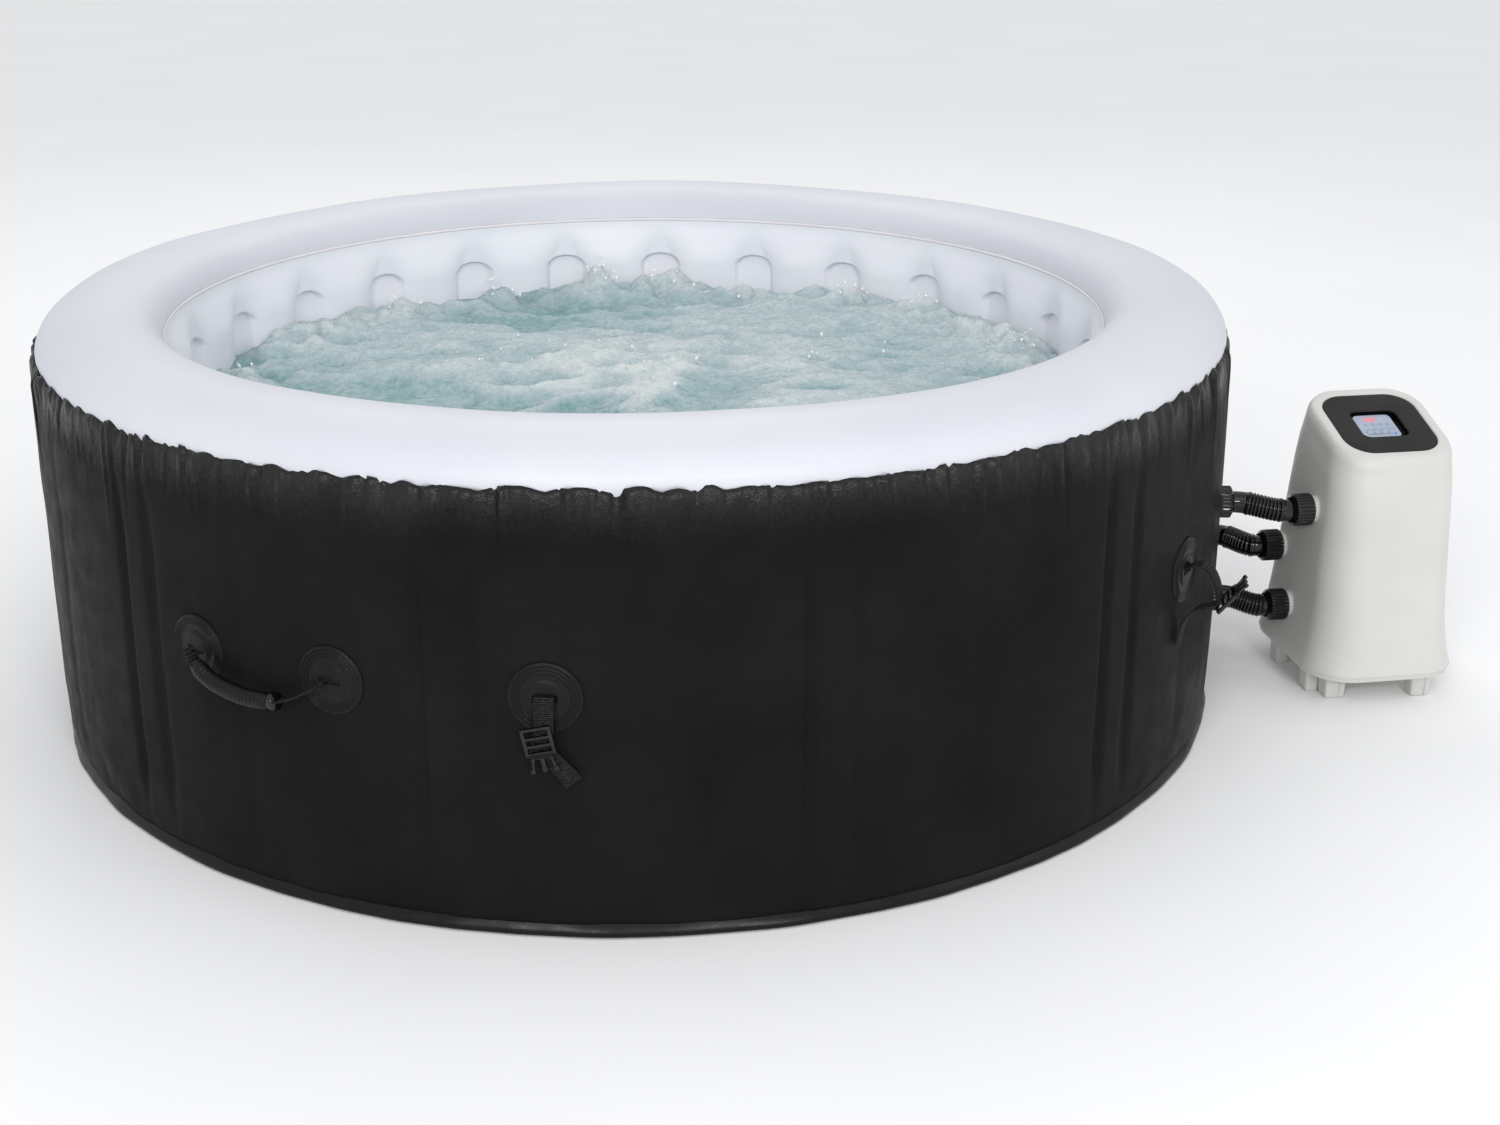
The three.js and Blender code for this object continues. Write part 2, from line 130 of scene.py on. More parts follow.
def spline(points, count):
    """Catmull-Rom curve through points, count samples spaced evenly along it."""
    p = np.array(points, float)
    p = np.vstack([2 * p[0] - p[1], p, 2 * p[-1] - p[-2]])
    dense = []
    for a, b, c, d in zip(p, p[1:], p[2:], p[3:]):
        t = np.linspace(0, 1, 24, endpoint=False)[:, None]
        low = 2 * b + (c - a) * t + (2 * a - 5 * b + 4 * c - d) * t ** 2
        dense.append(0.5 * (low + (3 * b - a - 3 * c + d) * t ** 3))
    dense = np.vstack(dense + [p[-2][None]])
    run = np.concatenate([[0], np.cumsum(np.linalg.norm(np.diff(dense, axis=0), axis=1))])
    goal = np.linspace(0, run[-1], count)
    return np.stack([np.interp(goal, run, dense[:, k]) for k in range(dense.shape[1])], axis=1)


def bands(*stops):
    """Values in bands of (start, count), each band ending where the next one starts."""
    made = []
    for k, (start, count) in enumerate(stops[:-1]):
        made.append(np.linspace(start, stops[k + 1][0], count, endpoint=k == len(stops) - 2))
    return np.concatenate(made)


# ---- mesh helpers
def new_object(name, verts, faces, material, matrix=None, sharp=None):
    """Smooth-shaded mesh object; sharp is the angle above which its edges stay hard, degrees."""
    mesh = bpy.data.meshes.new(name)
    mesh.from_pydata([tuple(v) for v in np.asarray(verts, float)], [], faces)
    mesh.validate()
    mesh.update()
    mesh.shade_smooth()
    if sharp is not None:
        mesh.set_sharp_from_angle(angle=radians(sharp))
    obj = bpy.data.objects.new(name, mesh)
    bpy.context.scene.collection.objects.link(obj)
    if matrix is not None:
        mesh.transform(matrix)
    if material is not None:
        mesh.materials.append(material)
    return obj


def loft(rings, closed=False):
    """Vertices and faces through rings of equal length; capped unless the rings close on themselves."""
    rings = np.asarray(rings, float)
    rows, cols = rings.shape[:2]
    faces = []
    for a in range(rows if closed else rows - 1):
        b = (a + 1) % rows
        for i in range(cols):
            j = (i + 1) % cols
            faces.append((a * cols + i, a * cols + j, b * cols + j, b * cols + i))
    if not closed:
        faces.append(tuple(reversed(range(cols))))
        faces.append(tuple((rows - 1) * cols + i for i in range(cols)))
    return rings.reshape(-1, 3), faces


def join_parts(parts):
    """One vertex and face list from several."""
    verts, faces, start = [], [], 0
    for v, f in parts:
        verts.append(np.asarray(v, float))
        faces += [tuple(i + start for i in face) for face in f]
        start += len(v)
    return np.vstack(verts), faces


def outward(obj):
    """Makes the faces of a closed mesh point outward."""
    bm = bmesh.new()
    bm.from_mesh(obj.data)
    bmesh.ops.recalc_face_normals(bm, faces=bm.faces)
    bm.to_mesh(obj.data)
    bm.free()
    return obj


def finish_piece(obj, body, node=None):
    """Rides the piece on its body and hides the CAD node it stands for."""
    if node:
        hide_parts(node)
    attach(obj, body)


def piece(name, shape, look, body, node=None, matrix=None, sharp=None):
    """One closed visible piece, finished."""
    finish_piece(outward(new_object(name, *shape, look, matrix, sharp)), body, node)


def full_turn(count):
    return np.linspace(0, TAU, count, endpoint=False)


def circle(radius, angle, z):
    """Points at a radius and height for each angle; radius and z may differ from angle to angle."""
    return np.column_stack([radius * np.cos(angle), radius * np.sin(angle),
                            np.broadcast_to(z, angle.shape)])


def lathe_rings(profile, segments, bump=None):
    """Rings round Z from (radius, height) pairs; bump(angle, row) adds to the radius."""
    a = full_turn(segments)
    return [circle(r + (bump(a, k) if bump else 0), a, z) for k, (r, z) in enumerate(profile)]


def lathe(profile, segments, bump=None, closed=False):
    return loft(lathe_rings(profile, segments, bump), closed)


def grooves(rows, depth, count, power=1):
    """Bump that cuts evenly spaced grooves into some rows of a lathed profile."""
    return lambda a, row: -depth * (0.5 - 0.5 * np.cos(count * a)) ** power if row in rows else 0


def round_rect(hx, hy, r, z, per_corner=10, cx=0, cy=0, crown=0):
    """One ring of a rounded rectangle, with extra points on its sides so that they can be crowned."""
    ring = []
    corners = [(1, 1, 0), (-1, 1, 90), (-1, -1, 180), (1, -1, 270)]
    for n, (sx, sy, start) in enumerate(corners):
        for k in range(per_corner + 1):
            a = radians(start + 90 * k / per_corner)
            ring.append([sx * (hx - r) + r * cos(a), sy * (hy - r) + r * sin(a)])
        nx, ny, nstart = corners[(n + 1) % 4]
        last = ring[-1]
        a = radians(nstart)
        first = [nx * (hx - r) + r * cos(a), ny * (hy - r) + r * sin(a)]
        for k in range(1, 8):
            t = k / 8
            ring.append([last[0] + (first[0] - last[0]) * t, last[1] + (first[1] - last[1]) * t])
    ring = np.array(ring)
    if crown:
        ring[:, 0] += crown * np.sign(ring[:, 0]) * np.clip(1 - (ring[:, 1] / hy) ** 2, 0, 1)
        ring[:, 1] += crown * np.sign(ring[:, 1]) * np.clip(1 - (ring[:, 0] / hx) ** 2, 0, 1)
    return np.column_stack([ring[:, 0] + cx, ring[:, 1] + cy, np.full(len(ring), z)])


def plates(hx, hy, r, levels, per_corner, cx=0, cy=0):
    """Rounded rectangles, each drawn in by its inset at its height."""
    return [round_rect(hx - inset, hy - inset, r - inset, z, per_corner, cx, cy) for inset, z in levels]


def sweep(path, section, up=(0, 0, 1)):
    """Rings of a section (sideways, up) carried along a path; it may be a function of the share 0 to 1."""
    path = np.asarray(path, float)
    tangent = np.gradient(path, axis=0)
    tangent /= np.linalg.norm(tangent, axis=1)[:, None]
    rings = []
    for k, (p, t) in enumerate(zip(path, tangent)):
        side = np.cross(t, up)
        side /= np.linalg.norm(side)
        top = np.cross(side, t)
        shape = section(k / (len(path) - 1)) if callable(section) else section
        rings.append(p + np.outer(shape[:, 0], side) + np.outer(shape[:, 1], top))
    return rings


def band_section(width, thickness):
    """Outline of a flat webbing band with rounded edges."""
    h, t = width / 2, thickness / 2
    corner = 0.35
    a = np.linspace(-pi / 2, pi / 2, 5)
    right = np.column_stack([h - t * corner + t * corner * np.cos(a), t * np.sin(a)])
    return np.vstack([right, -right])


def circle_section(radius, count):
    return circle(radius, full_turn(count), 0)[:, :2]


def rounded_box(sx, sy, sz, bevel, matrix):
    """Closed box with bevelled edges, as rings of rounded rectangles."""
    levels = [
        (bevel, 0), (bevel * 0.3, bevel * 0.3), (0, bevel), (0, sz - bevel),
        (bevel * 0.3, sz - bevel * 0.3), (bevel, sz)]
    levels = [(inset, z - sz / 2) for inset, z in levels]
    return placed(loft(plates(sx / 2, sy / 2, bevel * 1.5, levels, 3)), matrix)


def placed(shape, matrix):
    verts, faces = shape
    return np.array([matrix @ Vector(v) for v in verts]), faces


def wall_matrix(angle, z, radius):
    """Local frame on the tub wall: x outward, y along the wall to the left seen from inside, z up."""
    return Matrix.Rotation(angle, 4, "Z") @ shift(radius, 0, z)


def joint(name):
    """A joint's point and its axis."""
    return np.array(JOINTS[name]["pos_m"]), np.array(JOINTS[name]["axis"])


def at_joint(name):
    """Local wall frame at a joint's own angle, height and radius."""
    x, y, z = JOINTS[name]["pos_m"]
    return wall_matrix(atan2(y, x), z, hypot(x, y))


# ---- materials
class Look:
    """A procedural material under construction."""

    def __init__(self, name, color, roughness, specular=0.5):
        self.mat = bpy.data.materials.new(name)
        self.mat.use_nodes = True
        self.tree = self.mat.node_tree
        self.shader = self.tree.nodes["Principled BSDF"].inputs
        self.shader["Base Color"].default_value = (*color, 1)
        self.shader["Roughness"].default_value = roughness
        self.shader["Specular IOR Level"].default_value = specular
        self.coord = self.node("ShaderNodeTexCoord").outputs["Object"]
        self.normal = None

    def node(self, kind, **values):
        made = self.tree.nodes.new(kind)
        for key, value in values.items():
            if hasattr(made, key):
                setattr(made, key, value)
            else:
                made.inputs[key.replace("_", " ")].default_value = value
        return made

    def link(self, a, b):
        self.tree.links.new(a, b)

    def noise(self, scale, detail, rough=0.55):
        node = self.node("ShaderNodeTexNoise", Scale=scale, Detail=detail, Roughness=rough)
        self.link(self.coord, node.inputs["Vector"])
        return node.outputs["Fac"]

    def cells(self, scale, feature="F1"):
        node = self.node("ShaderNodeTexVoronoi", Scale=scale)
        node.feature = feature
        self.link(self.coord, node.inputs["Vector"])
        return node.outputs["Distance"]

    def spread(self, value, low, high, to_low, to_high):
        node = self.node("ShaderNodeMapRange")
        for key, number in (("From Min", low), ("From Max", high), ("To Min", to_low), ("To Max", to_high)):
            node.inputs[key].default_value = number
        self.link(value, node.inputs["Value"])
        return node.outputs["Result"]

    def blend(self, value, factor, added):
        node = self.node("ShaderNodeMath", operation="MULTIPLY_ADD")
        self.link(value, node.inputs[0])
        node.inputs[1].default_value = factor
        self.link(added, node.inputs[2])
        return node.outputs[0]

    def tint(self, value, *colors, stops=(0.3, 0.7)):
        """Base colour runs through the colours with value, one at each stop."""
        ramp = self.node("ShaderNodeValToRGB")
        marks = ramp.color_ramp.elements
        for end in (0, -1):
            marks[end].position = stops[end]
            marks[end].color = (*colors[end], 1)
        for place, color in list(zip(stops, colors))[1:-1]:
            marks.new(place).color = (*color, 1)
        self.link(value, ramp.inputs["Fac"])
        self.link(ramp.outputs["Color"], self.shader["Base Color"])

    def rough(self, value, low, high):
        """Roughness runs between two levels with value."""
        self.link(self.spread(value, 0.3, 0.7, low, high), self.shader["Roughness"])

    def bump(self, value, depth, strength=1.0):
        node = self.node("ShaderNodeBump", Strength=strength, Distance=depth)
        self.link(value, node.inputs["Height"])
        if self.normal is not None:
            self.link(self.normal, node.inputs["Normal"])
        self.normal = node.outputs["Normal"]
        self.link(self.normal, self.shader["Normal"])


def white_pvc(name, low, high):
    look = Look(name, high, 0.45, 0.4)
    look.tint(look.noise(2.2, 3), low, high)
    look.rough(look.noise(9, 5), 0.38, 0.5)
    look.bump(look.noise(14, 4), 0.0022, 0.5)
    look.bump(look.noise(900, 2), 0.00006)
    return look.mat


def leatherette(name="black_leatherette", shine=0, specular=0.028, grain=620, depth=0.00045):
    look = Look(name, (0.007, 0.007, 0.007), 0.42, specular)
    look.tint(look.noise(5, 6), (0.007, 0.0072, 0.0069), (0.0122, 0.0124, 0.0117))
    look.rough(look.noise(26, 6), 0.36 - shine, 0.52 - shine)
    look.bump(look.noise(18, 4), 0.0016, 0.5)
    look.bump(look.cells(grain, "SMOOTH_F1"), depth, 0.75)
    look.bump(look.noise(1400, 3), 0.00012, 0.8)
    return look.mat


def plain_plastic(name, low, high, rough_low, rough_high, grain, depth, specular):
    look = Look(name, high, rough_high, specular)
    look.tint(look.noise(11, 4), low, high)
    look.rough(look.noise(40, 5), rough_low, rough_high)
    look.bump(look.noise(grain, 2), depth)
    look.bump(look.noise(16, 3), 0.0006, 0.3)
    return look.mat


def webbing_cloth():
    look = Look("webbing", (0.012, 0.012, 0.012), 0.6, 0.1)
    ribs = look.node("ShaderNodeTexWave", Scale=105, Distortion=0.6, Detail=1)
    ribs.bands_direction = "Z"
    look.link(look.coord, ribs.inputs["Vector"])
    threads = look.cells(520)
    woven = look.blend(ribs.outputs["Fac"], 0.6, threads)
    look.tint(woven, (0.002, 0.002, 0.0022), (0.024, 0.024, 0.024), stops=(0.45, 1.0))
    look.bump(ribs.outputs["Fac"], 0.0012, 0.9)
    look.bump(threads, 0.0006, 0.8)
    return look.mat


def water_look():
    look = Look("spa_water", (0.5, 0.7, 0.68), 0.2, 0.5)
    foam = look.node("ShaderNodeAttribute")
    foam.attribute_name = "foam"
    total = look.blend(look.noise(95, 8, 0.7), 0.85, foam.outputs["Fac"])
    top = 1.4
    scaled = look.spread(total, 0, top, 0, 1)
    colors = ((0.165, 0.325, 0.325), (0.325, 0.445, 0.465), (0.45, 0.54, 0.565), (0.66, 0.705, 0.695))
    look.tint(scaled, *colors, stops=[place / top for place in (0.36, 0.58, 0.84, 1.16)])
    look.link(look.spread(scaled, 0.3, 0.8, 0.09, 0.42), look.shader["Roughness"])
    look.bump(look.noise(38, 7, 0.65), 0.014, 0.8)
    look.bump(look.cells(170, "SMOOTH_F1"), 0.0022, 0.5)
    look.bump(look.noise(260, 4, 0.7), 0.0016, 0.6)
    return look.mat


def droplet_look():
    look = Look("water_drops", (0.86, 0.92, 0.91), 0.08, 0.6)
    look.tint(look.noise(180, 3), (0.74, 0.84, 0.83), (0.93, 0.96, 0.95))
    look.bump(look.noise(400, 3), 0.0003)
    return look.mat


def lit_look(name, color, strength):
    look = Look(name, color, 0.4)
    look.tint(look.noise(500, 2), tuple(0.85 * c for c in color), color)
    look.shader["Emission Color"].default_value = (*color, 1)
    look.shader["Emission Strength"].default_value = strength
    return look.mat


# the inner wall is the same white PVC as the rim; its lighter copy below is painted light that brightens the
# shaded inside of the basin
WHITE = white_pvc("white_pvc", (0.575, 0.583, 0.634), (0.625, 0.632, 0.679))
LINER_PAINTED_LIGHT = white_pvc("liner_pvc_painted_light", (0.74, 0.745, 0.797), (0.79, 0.793, 0.838))
SKIRT = leatherette()
# the stretched gathers under the rim grow glossier step by step towards the edge
GATHERS = [leatherette(f"gathered_pvc_{k}", 0.018 * k, level, 360, 0.0009)
           for k, level in enumerate((0.04, 0.058, 0.085, 0.125, 0.18, 0.26), 1)]
PATCH = leatherette("patch_pvc", 0.16, 0.1)
# name: darker and lighter colour, least and most roughness, grain, depth of the grain, specular level
PLASTICS = {
    "weld_line": ((0.74, 0.7, 0.72), (0.8, 0.755, 0.77), 0.4, 0.5, 1500, 0.00003, 0.5),
    "hem_gloss": ((0.003, 0.003, 0.0035), (0.006, 0.006, 0.006), 0.22, 0.36, 600, 0.00015, 0.2),
    "black_rubber": ((0.003, 0.003, 0.0032), (0.008, 0.008, 0.008), 0.3, 0.44, 900, 0.0001, 0.2),
    "gloss_black": ((0.002, 0.002, 0.0022), (0.005, 0.005, 0.005), 0.08, 0.17, 700, 0.00004, 0.45),
    "cream_plastic": ((0.575, 0.568, 0.543), (0.615, 0.608, 0.583), 0.3, 0.42, 1500, 0.00003, 0.4),
    "grey_plastic": ((0.03, 0.031, 0.029), (0.038, 0.039, 0.037), 0.5, 0.62, 800, 0.00012, 0.03),
    "tray_black": ((0.003, 0.003, 0.0035), (0.006, 0.006, 0.006), 0.2, 0.35, 1500, 0.00003, 0.2),
    "display_film": ((0.33, 0.39, 0.49), (0.4, 0.455, 0.545), 0.2, 0.3, 1500, 0.00003, 0.2),
    "display_ink": ((0.1, 0.14, 0.22), (0.14, 0.18, 0.26), 0.3, 0.4, 1500, 0.00003, 0.5),
    "motor_steel": ((0.42, 0.42, 0.43), (0.56, 0.56, 0.57), 0.28, 0.45, 1200, 0.00008, 0.7),
    "filter_paper": ((0.68, 0.73, 0.76), (0.78, 0.82, 0.84), 0.75, 0.9, 500, 0.0002, 0.5)}
PLASTICS = [plain_plastic(name, *values) for name, values in PLASTICS.items()]
WELD, HEM, RUBBER, GLOSS, CREAM, GREY, TRAY, FILM, INK, STEEL, PAPER = PLASTICS
WEBBING = webbing_cloth()
WATER = water_look()
DROPS = droplet_look()
RED = lit_look("display_red", (0.78, 0.035, 0.02), 1.1)
BLUE = lit_look("display_blue", (0.05, 0.17, 0.62), 0.5)


# ---- tub: black outer wall
def gathered_edge(angle):
    """Height of the skirt's wavy upper edge over its mean line, scallop by scallop."""
    knots = np.cumsum(0.5 + rng.random(104))
    knots = knots / knots[-1] * TAU
    starts = np.concatenate([[0], knots[:-1]])
    which = np.clip(np.searchsorted(knots, angle), 0, len(knots) - 1)
    t = (angle - starts[which]) / (knots[which] - starts[which])
    lift = 0.0025 + 0.006 * rng.random(len(knots))
    small = 0.0004 * np.sin(angle * 131 + 2.0 * np.sin(angle * 23)) + 0.0006 * np.sin(angle * 47 + 1.5)
    return lift[which] * np.sin(pi * t) ** 1.15 - 0.003 + small


def pleat_field(angle, depth):
    """Radial relief of the fine folds that hang from the gathered edge."""
    relief = np.zeros((len(depth), len(angle)))
    for size, count, reach in ((0.0042, 380, 0.026), (0.0042, 90, 0.058), (0.0028, 460, 0.014)):
        place = rng.random(count) * TAU
        width = (0.0026 + 0.0036 * rng.random(count)) / TUB_R
        length = reach * (0.5 + rng.random(count))
        height = size * (0.35 + rng.random(count)) * np.where(rng.random(count) < 0.72, 1, -1)
        away = (angle[:, None] - place[None] + pi) % TAU - pi
        across = np.exp(-(away / width) ** 2)
        down = np.exp(-(depth[:, None] / length[None]) ** 1.6)
        relief += down @ (across * height).T
    return relief


def outer_wall():
    angle = full_turn(1680)
    outline = [
        (0.8925, 0.012), (0.8968, 0.026), (0.8988, 0.05), (0.9003, 0.1), (0.9012, 0.2), (0.9008, 0.32),
        (0.9002, 0.43), (0.899, 0.5), (0.8965, 0.545), (0.893, 0.57), (0.889, SEAM_Z)]
    fine = spline(outline, 400)
    share = bands((0, 8), (0.16, 12), (0.72, 26), (1, 0))
    radius, height = [np.interp(share, np.linspace(0, 1, len(fine)), column) for column in fine.T]
    edge = gathered_edge(angle)
    top = step(0.5, SEAM_Z, height)[:, None]
    z = height[:, None] + top * edge[None]
    depth = np.clip(SEAM_Z - height, 0, None)
    relief = pleat_field(angle, depth)
    relief = relief * (1 - 0.55 * np.exp(-(depth[:, None] / 0.004) ** 2))
    # soft vertical flutes where the inner webs pull the wall in, arching over below the top
    body = step(0.03, 0.13, height) * (1 - step(0.44, 0.555, height))
    for centre, deep, wide in flutes():
        away = (angle - centre + pi) % TAU - pi
        lean = 1 + 0.25 * fbm(height * 4, height * 0 + centre * 3, 2, 5)
        relief -= deep * np.exp(-(away[None] / (wide * lean[:, None])) ** 2) * body[:, None]
    swell = 0.0044 * fbm(angle[None] * 2.6 + 20, height[:, None] * 6, 3, 21)
    # the noise fades to nothing where the turn begins, so that it meets itself there
    seam_fix = 0.5 - 0.5 * np.cos(angle)
    relief += swell * seam_fix[None] * step(0.02, 0.1, height)[:, None]
    creases = np.abs(fbm(angle[None] * 34, height[:, None] * 9 + 3, 4, 44))
    relief -= 0.0018 * (1 - step(0, 0.16, creases)) * step(0.47, 0.57, height)[:, None] * seam_fix[None]
    foot = 0.0022 * fbm(angle[None] * 26, height[:, None] * 22, 3, 61)
    relief += foot * (1 - step(0.04, 0.12, height))[:, None] * seam_fix[None]
    r = radius[:, None] + relief
    rings = [circle(r[k], angle, z[k]) for k in range(len(height))]
    rings.append(circle(r[-1] - 0.003, angle, z[-1] - 0.001))
    for k in (len(height) - 6, len(height) - 20, 0):
        rings.append(circle(r[k] - 0.0055, angle, z[k]))
    wall = outward(new_object("outer_wall_skin", *loft(rings, True), SKIRT))
    for look in GATHERS:
        wall.data.materials.append(look)
    # height at which the gloss begins, and the height of one level of it
    gloss_from, gloss_step = 0.522, 0.0085
    centres = np.empty(len(wall.data.polygons) * 3)
    wall.data.polygons.foreach_get("center", centres)
    centres = centres.reshape(-1, 3)
    around = np.arctan2(centres[:, 1], centres[:, 0])
    above = centres[:, 2] - gloss_from - 0.012 * fbm(around * 17, around * 0, 3, 33)
    above += 0.009 * (rng.random(len(around)) - 0.5)
    level = np.clip(above // gloss_step + 1, 0, len(GATHERS))
    wall.data.polygons.foreach_set("material_index", level.astype(np.int32))
    finish_piece(wall, "tub", "outer_wall")


def flutes():
    """Angle, depth and half width of the wall's soft grooves, in pairs round the tub."""
    made = []
    spacing = TAU / 12
    for k in range(12):
        middle = radians(-100.1) + k * spacing + 0.012 * sin(2.7 * k)
        pair = radians(2.05)
        made += [(middle - pair, 0.0064, 0.0085), (middle + pair, 0.0056, 0.01)]
        made.append((middle + spacing * 0.42, 0.0018, 0.016))
    return made


def base_hem():
    """Glossy welded lip that runs round the foot of the wall."""
    profile = spline([
        (0.888, 0.0012), (0.896, 0.0008), (0.9, 0.0035), (0.9004, 0.0075), (0.8982, 0.012), (0.895, 0.0165),
        (0.89, HEM_TOP - HEM_TOP_GAP)], 18)

    def waves(a, row):
        lip = sin(pi * row / (len(profile) - 1))
        slow = 0.001 * np.sin(23 * a + 1.3 * np.sin(5 * a))
        return lip * (slow + 0.0004 * np.sin(57 * a + 2.1 * np.sin(7 * a)))

    piece("base_hem_band", lathe(profile, 900, waves, True), HEM, "tub", "base_hem")


# ---- tub: rim, liner, floor
def rim():
    segments = 720
    outline = [
        (0.885, SEAM_Z - 0.012), (0.8895, SEAM_Z + 0.004), (0.8825, 0.6035), (0.866, 0.62), (0.841, 0.6322),
        (0.808, 0.639), (0.776, 0.6382), (0.749, 0.632), (0.73, 0.621), (0.7175, 0.6055), (0.7105, 0.587)]
    crest = spline(outline, 56)
    inner = [(r - 0.0045 * (r - 0.795) / 0.09, z - 0.005 * step(0.58, 0.62, z)) for r, z in outline]
    profile = np.vstack([crest, spline(inner, 14)[::-1]])

    def unevenness(a, row):
        if row >= len(crest):
            return 0
        bend = sin(pi * row / (len(crest) - 1))
        slow = 0.0014 * np.sin(5 * a + 0.7) + 0.001 * np.sin(11 * a + 2.2)
        return bend * (slow + 0.0006 * np.sin(POCKETS * a))

    rings = lathe_rings(profile, segments, unevenness)
    a = full_turn(segments)
    for k in range(len(crest)):
        bend = sin(pi * k / (len(crest) - 1))
        rings[k][:, 2] += bend * (0.0016 * np.sin(4 * a + 1.1) + 0.001 * np.sin(9 * a))
        # short tension folds run up from the inner weld
        near_weld = exp(-((len(crest) - 1 - k) / 7.0) ** 2)
        rings[k][:, 2] -= near_weld * 0.0012 * (0.5 + 0.5 * np.cos(POCKETS * 2 * (a - POCKET_PHASE)))
    piece("rim_tube", loft(rings, True), WHITE, "tub", "rim_ring")
    # welded seam between the rim and the inner wall
    bead = []
    for k in range(8):
        t = TAU * k / 8
        r = 0.7102 + 0.0012 * cos(t)
        bead.append(circle(r, a, 0.5862 + 0.0026 * sin(t)))
    piece("rim_weld_bead", loft(bead, True), WELD, "tub", None)


def liner():
    """Inner wall: pillowed panels with narrower arch-topped pockets set back between them."""
    segments = POCKETS * 66
    angle = np.arange(segments) / segments * TAU
    height = bands((0.03, 8), (0.4, 10), (0.47, 38), (0.53, 14), (LINER_TOP, 0))
    local = (((angle - POCKET_PHASE) / (TAU / POCKETS)) + 0.5) % 1 - 0.5
    across = local * TAU * POCKET_ARC_R / POCKETS
    half = 0.0335          # half a pocket's width
    flat = 0.6             # height of the arch as a share of half the width
    arch_top = 0.523
    spring = arch_top - half * flat
    rings = []
    for z in height:
        # signed distance into the pocket: straight sides, round arch
        above = max(z - spring, 0) / flat
        side = half - np.hypot(np.abs(across), above)
        inside = step(-0.002, 0.002, side)
        valley = half * 0.8 * (1 - step(spring - 0.01, 0.59, z))
        panel = np.clip((np.abs(across) - valley) / (pi * POCKET_ARC_R / POCKETS - valley), 0, 1)
        pillow = (1 - (1 - np.clip(panel * 1.2, 0, 1)) ** 2.2) * 0.014
        calm = 1 - step(0.505, 0.58, z)
        hollow = 0.0035 + 0.005 * step(0.455, 0.52, z)
        r = LINER_R - pillow * calm * (1 - inside) + inside * hollow
        r = r + 0.0028 * step(0.55, LINER_TOP, z)
        rings.append(circle(r, angle, z))
    for z in (LINER_TOP, 0.4, 0.03):
        rings.append(circle(LINER_BACK_R, angle, z))
    # painted light: the inner wall takes the lighter copy of the white PVC to lift the shade inside the
    # basin
    piece("inner_wall_skin", loft(rings, True), LINER_PAINTED_LIGHT, "tub", "inner_wall")


# ---- water
# angle in degrees, distance from the middle, height and width of each splash
SPLASHES = [
    (102, 0.655, 0.04, 0.03), (91, 0.665, 0.016, 0.045), (77, 0.66, 0.01, 0.05),
    (118, 0.66, 0.022, 0.03), (136, 0.65, 0.012, 0.03), (60, 0.66, 0.016, 0.035),
    (45, 0.65, 0.012, 0.03), (20, 0.66, 0.014, 0.04), (-60, 0.6, 0.014, 0.05),
    (-120, 0.62, 0.014, 0.05), (180, 0.65, 0.014, 0.04), (92, 0.1, 0.016, 0.13),
    (150, 0.28, 0.014, 0.1), (30, 0.34, 0.012, 0.1)]
SPLASHES = [(r * cos(radians(a)), r * sin(radians(a)), *size) for a, r, *size in SPLASHES]


def water_height(x, y):
    """Height of the churning surface over its mean, and how foamy it is, 0 to 1."""
    wx = x + 0.05 * fbm(x * 3.1, y * 3.1, 3, 90)
    wy = y + 0.05 * fbm(x * 3.1 + 40, y * 3.1, 3, 91)
    big = fbm(wx * 3.2, wy * 4.4, 3, 11)
    mid = 1 - np.abs(fbm(wx * 6.0, wy * 8.5, 4, 12)) * 2.4
    fine = fbm(wx * 36, wy * 42, 4, 13)
    tiny = 1 - np.abs(fbm(wx * 80, wy * 80, 3, 17)) * 2
    r = np.hypot(x, y)
    boil = np.exp(-((r - 0.64) / 0.06) ** 2)
    lumps = np.abs(fbm(wx * 13, wy * 13, 3, 14))
    lift = 0.022 * big + 0.013 * mid + 0.005 * fine * (0.6 + boil) + 0.002 * tiny
    lift = lift + boil * (0.001 + 0.044 * lumps)
    centre = np.exp(-((x - 0.03) ** 2 + (y + 0.1) ** 2) / 0.3 ** 2)
    crest = step(0.15, 0.95, mid + 0.35 * big)
    foam = 0.1 + 0.42 * crest * (0.55 + 0.6 * centre) + 0.16 * boil + 0.22 * boil * step(0.2, 0.7, lumps)
    foam = foam + 0.16 * fine - 0.16 * step(0, 0.5, -big)
    for cx, cy, tall, wide in SPLASHES:
        d2 = ((x - cx) ** 2 + (y - cy) ** 2) / wide ** 2
        crown = np.exp(-d2) * (1 + 0.5 * fbm(x * 60, y * 60, 3, 15))
        lift = lift + tall * crown
        foam = foam + 0.2 * crown
    lift = lift * (0.45 + 0.55 * (1 - step(0.685, 0.705, r)))
    return lift, np.clip(foam, 0, 1)


def water():
    around, outwards = 640, 150
    angle = full_turn(around)
    radii = WATER_R * np.linspace(0.012, 1, outwards) ** 0.85
    rings, foams = [], []
    for r in radii:
        x, y = r * np.cos(angle), r * np.sin(angle)
        lift, foam = water_height(x, y)
        rings.append(np.column_stack([x, y, WATER_Z + lift]))
        foams.append(foam)
    for r, z in ((WATER_R, 0.4), (0.7, 0.38), (0.02, 0.38)):
        rings.append(circle(r, angle, z))
        foams.append(np.full(around, 0.4))
    surface = new_object("water_surface", *loft(rings), WATER)
    attribute = surface.data.attributes.new("foam", "FLOAT", "POINT")
    attribute.data.foreach_set("value", np.concatenate(foams).astype(np.float32))
    finish_piece(outward(surface), "tub")
    splash_drops()


